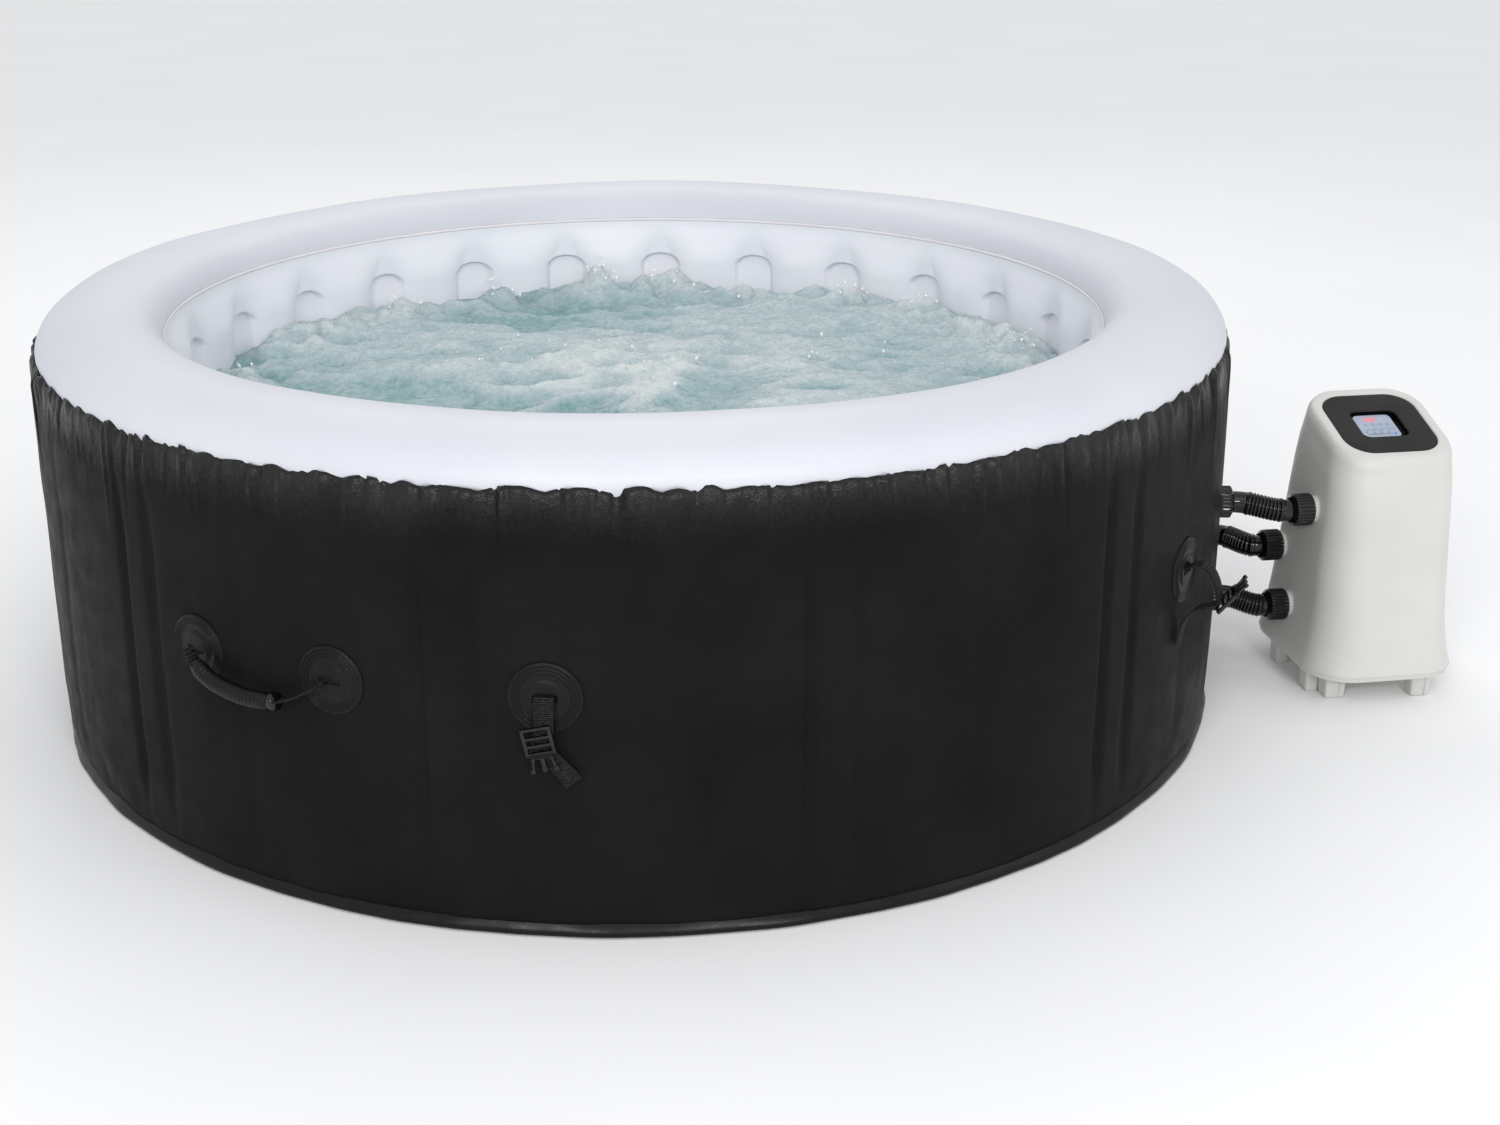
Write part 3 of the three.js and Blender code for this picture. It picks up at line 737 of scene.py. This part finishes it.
def splash_drops():
    """Flying droplets over the splashes, as small closed beads."""
    base, faces = lathe([(sin(t), -cos(t)) for t in np.linspace(0.35, pi - 0.35, 5)], 8)
    parts = []
    for cx, cy, tall, wide in SPLASHES:
        for _ in range(int(900 * tall)):
            spread = wide * 1.3 * sqrt(rng.random())
            turn = rng.random() * TAU
            x = cx + spread * cos(turn)
            y = cy + spread * sin(turn)
            if hypot(x, y) > 0.69:
                continue
            ground = float(water_height(np.array([x]), np.array([y]))[0][0])
            size = 0.0009 + 0.0021 * rng.random() ** 2
            z = WATER_Z + ground + tall * 0.9 * rng.random() ** 1.5 + size * 0.6
            parts.append((base * size * [1, 1, 1 + 0.5 * rng.random()] + [x, y, z], faces))
    piece("splash_drops", join_parts(parts), DROPS, "tub")


# ---- patches, handles, straps
def patch_disc(kind, number, size):
    """Round welded patch: three raised rings, a raised middle with a slot, bent to the wall."""
    middle = middle_of(f"{kind}_patch_{number}")
    matrix = wall_matrix(atan2(middle.y, middle.x), middle.z, TUB_R + PATCH_STAND)
    rows = 60
    a = full_turn(112)
    front = []
    for k in range(rows):
        r = size * (0.03 + 0.97 * k / (rows - 1))
        y, z = r * np.cos(a), r * np.sin(a)
        x = np.full_like(a, 0.0016)
        for ring in (0.72, 0.82, 0.92):
            x += 0.0017 * np.exp(-((r / size - ring) / 0.024) ** 2)
        x += 0.0022 * (1 - step(0.42, 0.56, r / size))
        slot = np.maximum(np.abs(y) / 0.0145, np.abs(z) / 0.0042)
        x -= 0.0036 * (1 - step(0.8, 1.05, slot))
        x *= 1 - 0.85 * step(0.975, 1.0, r / size)
        front.append(np.column_stack([x - y ** 2 / (2 * TUB_R), y, z]))
    y, z = size * np.cos(a), size * np.sin(a)
    back = [np.column_stack([-0.0012 - y ** 2 / (2 * TUB_R), y, z]),
            np.column_stack([np.full_like(a, -0.0012), 0.03 * y, 0.03 * z])]
    piece(f"{kind}_patch_disc_{number}", loft(front + back), PATCH, "tub", f"{kind}_patch_{number}",
          matrix)


def ribbed_section(radius, share, ribs):
    """Grip sleeve: oval, with ribs along its length."""
    swell = 1 + 0.06 * abs(sin(pi * ribs * share)) ** 0.5
    ends = 0.72 + 0.28 * min(1.0, 12 * share, 12 * (1 - share))
    shape = circle_section(radius * swell * ends, 24)
    shape[:, 1] *= 0.86
    return shape


def carry_handle(side):
    matrix = at_joint(f"handle_{side}_swing")
    body = f"handle_{side}"
    # from the left patch's slot, down through the ribbed sleeve, up to the right patch
    route = [
        (-0.0045, -0.105, -0.005), (0.004, -0.099, -0.008), (0.008, -0.086, -0.018), (0.01, -0.064, -0.031),
        (0.0105, -0.033, -0.0395), (0.0105, 0.002, -0.0425), (0.01, 0.036, -0.0385),
        (0.0085, 0.066, -0.028), (0.005, 0.092, -0.014), (-0.0045, 0.105, -0.005)]
    path = spline(route, 120)
    across = (1, 0, 0.01)
    band = loft(sweep(path, band_section(0.018, 0.0022)[:, ::-1], across))
    piece(f"handle_strap_{side}", band, WEBBING, body, None, matrix)
    last = len(path) - 1
    inner = spline(path[int(0.1 * last):int(0.65 * last)], 150)
    sleeve = loft(sweep(inner, lambda s: ribbed_section(GRIP_R, s, 22), across))
    piece(f"handle_grip_sleeve_{side}", sleeve, RUBBER, body, f"handle_grip_{side}", matrix)
    # glossy collar where the sleeve ends
    at = spline(path[int(0.655 * last):int(0.685 * last) + 1], 8)
    collar = loft(sweep(at, lambda s: circle_section(GRIP_R + 0.0012 * sin(pi * s), 24), across))
    piece(f"handle_collar_{side}", collar, GLOSS, body, None, matrix)


def side_release_half(turn, place):
    """Webbing buckle half: ladder frame with grip ribs and two sprung prongs."""
    matrix = Matrix.Translation(place) @ turn
    parts = []

    def bar(sx, sy, sz, x, y, z, tilt=0):
        local = shift(x, y, z) @ Matrix.Rotation(tilt, 4, "X")
        parts.append(rounded_box(sx, sy, sz, 0.0012, matrix @ local))

    for y in (-0.0165, 0.0165):
        bar(0.0058, 0.005, 0.036, 0, y, 0)
    for z in (-0.016, -0.0045, 0.0055, 0.016):
        bar(0.0052, 0.035, 0.004, 0, 0, z)
    for k in range(4):
        bar(0.0072, 0.03, 0.0013, 0, 0, 0.014 + 0.0024 * k)
    bar(0.005, 0.006, 0.02, 0, 0, 0.03)
    for y, tilt in ((-0.0125, 0.22), (0.0125, -0.22)):
        bar(0.0048, 0.004, 0.02, 0, y, 0.029, tilt)
        bar(0.0055, 0.0066, 0.006, 0, y * 1.17, 0.0375)
    return join_parts(parts)


def cover_strap(number):
    matrix = at_joint(f"lock_{number}_swing")
    body = f"lock_{number}"
    if number % 2 == 0:
        # stiff webbing that stands away from the wall, with the buckle half pointing out and up
        route = [
            (-0.005, 0, -0.0125), (0.004, 0.001, -0.006), (0.016, 0.004, -0.003), (0.028, 0.0075, -0.01),
            (0.037, 0.01, -0.026), (0.042, 0.01, -0.044), (0.044, 0.009, -0.058)]
        tail = [
            (0.044, 0.008, -0.056), (0.033, 0.004, -0.06), (0.017, -0.003, -0.066), (0.006, -0.011, -0.079),
            (0.001, -0.018, -0.098), (0, -0.023, -0.117)]
        turn = Matrix.Rotation(radians(38), 4, "Y") @ Matrix.Rotation(radians(-12), 4, "X")
        turn = turn @ Matrix.Rotation(radians(18), 4, "Z")
        place = (0.052, 0.011, -0.051)
    else:
        route = [
            (-0.005, 0, -0.0125), (0.003, 0, -0.009), (0.0072, 0, -0.017), (0.006, -0.001, -0.038),
            (0.0052, -0.003, -0.058), (0.0055, -0.006, -0.076)]
        tail = [
            (0.0055, -0.006, -0.07), (0.004, 0.002, -0.084), (0.0022, 0.014, -0.098),
            (0.0012, 0.026, -0.112), (0.001, 0.033, -0.121)]
        turn = Matrix.Rotation(radians(192), 4, "X")
        place = (0.0085, -0.008, -0.064)
    band = band_section(0.0245, 0.002)[:, ::-1]
    pieces = []
    for points, steps in ((route, 60), (tail, 50)):
        pieces.append(loft(sweep(spline(points, steps), band, (0, 1, 0))))
    piece(f"lock_webbing_{number}", join_parts(pieces), WEBBING, body, f"lock_strap_{number}",
          matrix)
    piece(f"lock_buckle_half_{number}", side_release_half(turn, place), GLOSS, body,
          f"lock_buckle_{number}", matrix, 40)


# ---- hoses and nuts
def bezier(p0, p1, p2, p3, count):
    t = np.linspace(0, 1, count)[:, None]
    return (1 - t) ** 3 * p0 + 3 * (1 - t) ** 2 * t * p1 + 3 * (1 - t) * t ** 2 * p2 + t ** 3 * p3


HOSE_R = 0.0168
BELLOWS = (0.3, 0.74)
RIDGES = 10


def hose(number):
    """Bellows hose between the two union nuts: smooth cuffs, ridged middle."""
    tub_nut = joint(f"tub_nut_{number}_turn")[0]
    pump_nut, out = joint(f"pump_nut_{number}_turn")
    start = tub_nut + [-0.0016, 0, 0]
    end = pump_nut + out * -0.0016
    leave, arrive = start + [0.015, 0, 0], end + out * 0.02
    pull = np.linalg.norm(arrive - leave) * 0.36
    middle = bezier(leave, leave + [pull, 0, 0], arrive + out * pull, arrive, 80)
    path = spline(np.vstack([start, middle[::8], arrive, end]), 260)

    def section(share):
        low, high = BELLOWS
        radius = HOSE_R
        if low < share < high:
            wave = sin(pi * ((share - low) / (high - low) * RIDGES % 1))
            radius = HOSE_R - 0.0008 + 0.0024 * wave ** 0.6
        for end in BELLOWS:
            radius += 0.0012 * exp(-((share - end) / 0.02) ** 2)
        return circle_section(radius, 48)

    piece(f"hose_tube_{number}", loft(sweep(path, section)), GLOSS, "tub", f"hose_{number}")


def axis_matrix(point, axis):
    """Frame with +Z along axis at a point."""
    return Matrix.Translation(point) @ Vector(axis).to_track_quat("Z", "Y").to_matrix().to_4x4()


def union_nut(kind, number, low, high, axis):
    """Knurled nut from low to high along its axis, measured from the joint's point."""
    node = f"{kind}_nut_{number}"
    point = joint(f"{node}_turn")[0]
    length = high - low
    outer, bore = NUT_R, NUT_BORE
    knurls = 30
    profile = [
        (bore + 0.002, low), (outer - 0.0022, low), (outer - 0.0006, low + 0.001), (outer, low + 0.0028),
        (outer, low + 0.35 * length), (outer, low + 0.62 * length), (outer, low + 0.8 * length),
        (outer - 0.0006, low + 0.84 * length), (outer - 0.003, low + 0.9 * length),
        (outer - 0.0052, high - 0.0008), (outer - 0.0062, high), (bore + 0.0006, high),
        (bore, high - 0.001), (bore, low + 0.55 * length), (bore + 0.002, low + 0.5 * length)]
    shape = lathe(profile, knurls * 8, grooves((3, 4, 5, 6), 0.0013, knurls, 0.6), True)
    piece(f"{kind}_union_{number}", shape, GLOSS, node, node, axis_matrix(point, axis), 50)


def tub_collar(number):
    """Flange of the wall coupling, seen round the nut."""
    point = joint(f"tub_nut_{number}_turn")[0]
    profile = spline([
        (0.0175, -0.009), (0.029, -0.0095), (0.03, -0.011), (0.03, -0.015), (0.0175, -0.017)], 16)
    piece(f"wall_flange_{number}", lathe(profile, 64, closed=True), RUBBER, "tub", None,
          axis_matrix(point, (1, 0, 0)))


# ---- pump
# height, half depth, half width, corner radius, middle shift, share of the panel slope
LEVELS = [
    (0.05, 0.121, 0.146, 0.07, -0.014, 0), (0.072, 0.115, 0.142, 0.066, -0.015, 0),
    (0.13, 0.106, 0.134, 0.06, -0.0155, 0.1), (0.23, 0.103, 0.118, 0.054, -0.013, 0.35),
    (0.33, 0.099, 0.108, 0.052, -0.01, 0.7), (0.396, 0.0975, 0.0975, 0.056, PANEL_X, 1)]
LIP = [(z, half, half, corner, PANEL_X, 1) for z, half, corner in (
    (0.405, 0.0962, 0.0555), (0.411, 0.0935, 0.054), (0.415, 0.09, 0.051), (0.4166, 0.086, 0.0485),
    (0.4166, 0.08, 0.044), (0.4158, 0.0772, 0.0415), (0.4142, 0.0762, 0.0405), (0.411, 0.076, 0.04))]


def shell_ring(z, hx, hy, r, cx, tilt, crown=0):
    ring = round_rect(hx, hy, r, z, 12, cx, 0, crown)
    ring[:, 2] += tilt * tan(PANEL_SLOPE) * ring[:, 1]
    return ring


def pump_shell():
    levels = spline(LEVELS, 70)
    parting = 0.176        # height of the groove where the shell's halves meet
    skin = 0.003
    rings = []
    for z, hx, hy, r, cx, tilt in levels:
        groove = 0.0007 * exp(-((z - parting) / 0.0016) ** 2)
        crown = 0.0028 * step(0.05, 0.12, z) * (1 - step(0.36, 0.4, z))
        rings.append(shell_ring(z, hx - groove, hy - groove, r, cx, tilt, crown))
    for level in spline(LIP, 26):
        rings.append(shell_ring(*level))
    for z, hx, hy, r, cx, tilt in levels[::-6]:
        rings.append(shell_ring(min(z, 0.404), hx - skin, hy - skin, r - skin, cx, tilt))
    rings.append(shell_ring(0.05, 0.118, 0.143, 0.067, -0.014, 0))
    piece("pump_shell_skin", loft(rings, True), CREAM, "tub", "pump_shell", PUMP, 60)


def pump_base():
    """Moulded tray with blocky tapered feet."""
    levels = ((0.1175, 0.1425, 0.067, 0.0405), (0.1185, 0.1435, 0.068, 0.042),
              (0.1185, 0.1435, 0.068, 0.049))
    parts = [loft([round_rect(*level, 12, -0.014) for level in levels])]
    # place, width and depth of each foot on one side; the other side mirrors them
    for x, y, w, d in ((-0.085, 0.088, 0.034, 0.034), (-0.109, 0.058, 0.024, 0.03),
                       (0.051, 0.104, 0.034, 0.03)):
        for side in (1, -1):
            foot = [round_rect(w / 2 - inset, d / 2 - inset, 0.0045, z, 5, x, side * y) for inset, z in
                    ((0.003, 0), (0.0016, 0.0008), (0.001, 0.0026), (-0.0004, 0.0405), (-0.001, 0.043))]
            rib = [round_rect(0.0012, d / 2 + 0.0016, 0.0006, z, 2, x + w * 0.18, side * y)
                   for z in (0.003, 0.041)]
            parts += [loft(foot), loft(rib)]
    piece("pump_base_moulding", join_parts(parts), CREAM, "tub", "pump_base", PUMP, 40)


def pump_port(number):
    """Cream stub with a coarse thread, on a raised boss that blends into the shell."""
    matrix = axis_matrix(*joint(f"pump_nut_{number}_turn"))
    stand = 0.026
    profile = [
        (0.012, -stand - 0.02), (0.026, -stand - 0.02), (0.026, -stand - 0.012), (0.026, -stand - 0.003),
        (0.0245, -stand - 0.0006), (0.0226, -stand + 0.0006), (0.0205, -stand + 0.001)]
    for k in range(3):
        z = -stand + 0.0018 + 0.0036 * k
        profile += [(0.0192, z), (0.0206, z + 0.001), (0.0206, z + 0.0018), (0.0192, z + 0.0028)]
    profile += [(0.019, -0.003), (0.0185, -0.0022), (0.0125, -0.0022), (0.012, -0.004)]
    piece(f"pump_stub_{number}", lathe(profile, 72, closed=True), CREAM, "tub", f"pump_port_{number}",
          matrix, 45)


def panel_bezel():
    outside = ((0, -0.0032), (0, -0.001), (0.0004, -0.0003), (0.0012, 0))
    hole = ((-0.0016, 0), (-0.0008, -0.0002), (-0.0002, -0.0008), (0, -0.0032))
    rings = plates(0.0755, 0.079, 0.041, outside, 16) + plates(0.038, 0.036, 0.013, hole, 16)
    piece("panel_bezel_plate", loft(rings, True), GREY, "tub", "panel_bezel", PANEL, 50)


def key_place(number):
    return PANEL.inverted() @ middle_of(f"key_{number}")


def drill_keys(plate):
    """Cuts a clear hole for each key."""
    cutters = []
    for number in range(1, 5):
        spot = key_place(number)
        pin = lathe([(0.0051, -0.016), (0.0051, 0.001)], 32)
        cutter = outward(new_object(f"key_drill_{number}", *pin, FILM, PANEL @ shift(spot.x, spot.y, 0)))
        hole = plate.modifiers.new(f"hole_{number}", "BOOLEAN")
        hole.object = cutter
        hole.solver = "EXACT"
        cutters.append(cutter)
    bpy.context.view_layer.update()
    cut = bpy.data.meshes.new_from_object(plate.evaluated_get(bpy.context.evaluated_depsgraph_get()))
    plate.modifiers.clear()
    plate.data = cut
    for cutter in cutters:
        bpy.data.objects.remove(cutter)


def display():
    """Black recess, raised pale film with its digits and symbols."""
    levels = [
        (0.044, 0.042, 0.015, -0.0166), (0.044, 0.042, 0.015, -0.0036), (0.0402, 0.0382, 0.014, -0.0036),
        (0.0396, 0.0376, 0.0136, -0.013), (0.0386, 0.0366, 0.0126, -0.0136)]
    tray = loft([round_rect(*level, 8) for level in levels])
    piece("display_recess", tray, TRAY, "tub", "display_tray", PANEL, 40)
    top = -0.005           # upper face of the film, under the panel's plane
    levels = ((0.001, -0.012), (0, -0.0112), (0, -0.0062), (0.0005, -0.0054), (0.0018, top))
    film = plates(0.031, 0.03, 0.0085, levels, 10, -0.003)
    plate = outward(new_object("display_film_plate", *loft(film), FILM, PANEL, 45))
    drill_keys(plate)
    finish_piece(plate, "tub", "display_panel")
    digits, marks = [], []
    # two generic seven-segment figures, "38", and a degree ring
    places = {"a": (0, 1, 0), "g": (0, 0, 0), "d": (0, -1, 0), "b": (1, 0.5, 1), "c": (1, -0.5, 1),
              "f": (-1, 0.5, 1), "e": (-1, -0.5, 1)}
    for k, lit in enumerate(("abgcd", "abcdefg")):
        cx, cy = -0.016 + 0.0105 * k, 0.0165
        for name in lit:
            px, py, upright = places[name]
            size = (0.0013, 0.0042, 0.0006) if upright else (0.0044, 0.0013, 0.0006)
            spot = shift(cx + px * 0.0027, cy + py * 0.0052, top)
            digits.append(rounded_box(*size, 0.0002, PANEL @ spot))
    ring = lathe([(0.0008, 0), (0.0008, 0.0003), (0.0014, 0.0003), (0.0014, 0)], 16, closed=True)
    digits.append(placed(placed(ring, shift(0.0005, 0.0215, top)), PANEL))
    piece("display_digits", join_parts(digits), RED, "tub")
    for x in (-0.021, -0.009, 0.003, 0.015):
        for y, wide in ((-0.0105, 0.005), (0.002, 0.0062), (0.005, 0.004)):
            marks.append(rounded_box(wide, 0.001, 0.0004, 0.0002, PANEL @ shift(x, y, top)))
    piece("display_marks", join_parts(marks), INK, "tub")
    dot = lathe([(0.0002, 0.0003), (0.002, 0.0003), (0.0024, 0), (0.0002, 0)], 24, closed=True)
    piece("display_lamp", placed(placed(dot, shift(0.018, -0.0235, top)), PANEL), BLUE, "tub")


def key(number):
    local = key_place(number)
    matrix = PANEL @ shift(local.x, local.y, -0.012)
    profile = [
        (0.0003, 0), (0.0047, 0), (0.0048, 0.0004), (0.0048, 0.0068), (0.0045, 0.0074),
        (0.0036, 0.0078), (0.0031, 0.0076), (0.0003, 0.0073)]
    piece(f"key_cap_{number}", lathe(profile, 32), FILM, f"key_{number}", f"key_{number}",
          matrix, 60)


def cable_gland():
    back = PUMP.to_3x3() @ Vector((0, 1, 0))
    local = PUMP.inverted() @ middle_of("cable_gland")
    foot = PUMP @ Vector((local.x, 0.139, local.z))
    flats = grooves((2, 3, 4), 0.0012, 6)
    profile = [
        (0.0072, -0.016), (0.0075, 0.0036), (0.013, 0.004), (0.0134, 0.005), (0.0134, 0.0085),
        (0.012, 0.01), (0.0105, 0.0105), (0.0102, 0.017), (0.0085, 0.02), (0.0052, 0.0204),
        (0.0048, 0.0185), (0.001, 0.018)]
    piece("cable_gland_body", lathe(profile, 72, flats), RUBBER, "tub", "cable_gland",
          axis_matrix(foot, back), 40)


# ---- valves at the back
def valve(base_node, cap_node):
    point, axis = map(Vector, joint(f"{cap_node}_turn"))
    matrix = axis_matrix(point - axis * 0.012, axis)
    collar = spline([
        (0.017, -0.014), (0.0175, -0.001), (0.0285, 0.0022), (0.0296, 0.004), (0.0285, 0.0058),
        (0.02, 0.0056), (0.002, 0.005)], 30)
    piece(f"{base_node}_seat", lathe(collar, 96), GREY, "tub", base_node, matrix, 50)
    profile = [
        (0.002, 0.0062), (0.0235, 0.0062), (0.024, 0.0072), (0.024, 0.014), (0.0232, 0.0158),
        (0.0205, 0.0176), (0.016, 0.018), (0.014, 0.0168), (0.0015, 0.0165)]
    grip = grooves((2, 3), 0.001, 24, 0.5)
    parts = [lathe(profile, 192, grip), rounded_box(0.03, 0.005, 0.0036, 0.001, shift(0, 0, 0.0172))]
    piece(f"{cap_node}_knob", join_parts(parts), GLOSS, cap_node, cap_node, matrix, 50)


# ---- hidden works
def dress_nodes():
    """Procedural materials for the CAD nodes that stay as they are."""
    looks = {"tub_base": HEM, "floor_sheet": WHITE, "bubble_channel": WHITE, "beam_web": WHITE,
             "filter_cartridge": PAPER, "pump_volute": GREY, "pump_impeller": RUBBER, "pump_motor": STEEL,
             "tub_port_1": CREAM, "tub_port_2": CREAM, "tub_port_3": CREAM}
    for name, look in looks.items():
        mesh = frame["nodes"][name].data
        mesh.materials.clear()
        mesh.materials.append(look)


# ---- stage, light, camera
def stage():
    size, sink = 40, -0.0005   # half width, and how far it lies under the tub
    corners = [(-size, -size, sink), (size, -size, sink), (size, size, sink), (-size, size, sink)]
    floor = new_object("floor", corners, [(0, 1, 2, 3)], None)
    look = Look("floor_paper", (0.86, 0.86, 0.86), 0.9, 0.2)
    look.tint(look.noise(1.5, 2), (0.895, 0.895, 0.895), (0.915, 0.915, 0.915))
    floor.data.materials.append(look.mat)
    world = bpy.data.worlds.new("studio")
    bpy.context.scene.world = world
    bpy.context.scene.view_settings.view_transform = "Standard"
    world.use_nodes = True
    sky = world.node_tree.nodes["Background"].inputs
    sky["Color"].default_value = (0.97, 0.98, 1.0, 1)
    sky["Strength"].default_value = 0.86


def area_light(name, place, target, size, power):
    lamp = bpy.data.lights.new(name, "AREA")
    lamp.shape = "RECTANGLE"
    lamp.size, lamp.size_y = size
    lamp.energy = power
    obj = bpy.data.objects.new(name, lamp)
    obj.location = place
    obj.rotation_euler = (Vector(target) - Vector(place)).to_track_quat("-Z", "Y").to_euler()
    bpy.context.scene.collection.objects.link(obj)


def lights():
    area_light("key_light", (0.9, -2.8, 3.8), (0, 0, 0.3), (2.6, 1.8), 14)
    area_light("front_light", (2.3, -6.0, 3.0), (0.2, -0.6, 0.3), (1.3, 1.0), 88)
    area_light("left_front", (-1.2, -5.6, 3.0), (0.6, -0.3, 0.3), (1.3, 1.0), 72)
    area_light("right_fill", (4.2, -1.6, 2.2), (0.4, 0, 0.3), (1.6, 2.0), 10)
    area_light("back_light", (-0.6, 3.2, 3.4), (0, 0, 0.4), (3.2, 1.6), 26)


def camera():
    distance, height = 3.1604, 1.3305
    turn = radians(5.5)        # the camera stands this far round the tub
    down = radians(90 - 20.26)
    aside = 0.0546             # it looks past the middle, toward the pump
    data = bpy.data.cameras.new("camera")
    data.sensor_width = 36
    data.lens = 49.94
    obj = bpy.data.objects.new("camera", data)
    obj.location = (distance * sin(turn), -distance * cos(turn), height)
    obj.rotation_euler = (down, 0, turn - aside)
    bpy.context.scene.collection.objects.link(obj)
    bpy.context.scene.camera = obj


camera()
lights()
stage()
dress_nodes()
outer_wall()
base_hem()
rim()
liner()
water()
for n in range(1, 5):
    patch_disc("handle", n, 0.045)
    patch_disc("lock", n, 0.046)
    cover_strap(n)
    key(n)
for n in (1, 2):
    carry_handle(n)
for n in (1, 2, 3):
    hose(n)
    union_nut("pump", n, -0.017, 0.017, joint(f"pump_nut_{n}_turn")[1])
    union_nut("tub", n, -0.0115, 0.012, (1, 0, 0))
    pump_port(n)
    tub_collar(n)
pump_shell()
pump_base()
panel_bezel()
display()
cable_gland()
valve("air_valve", "air_valve_cap")
valve("drain_valve", "drain_cap")
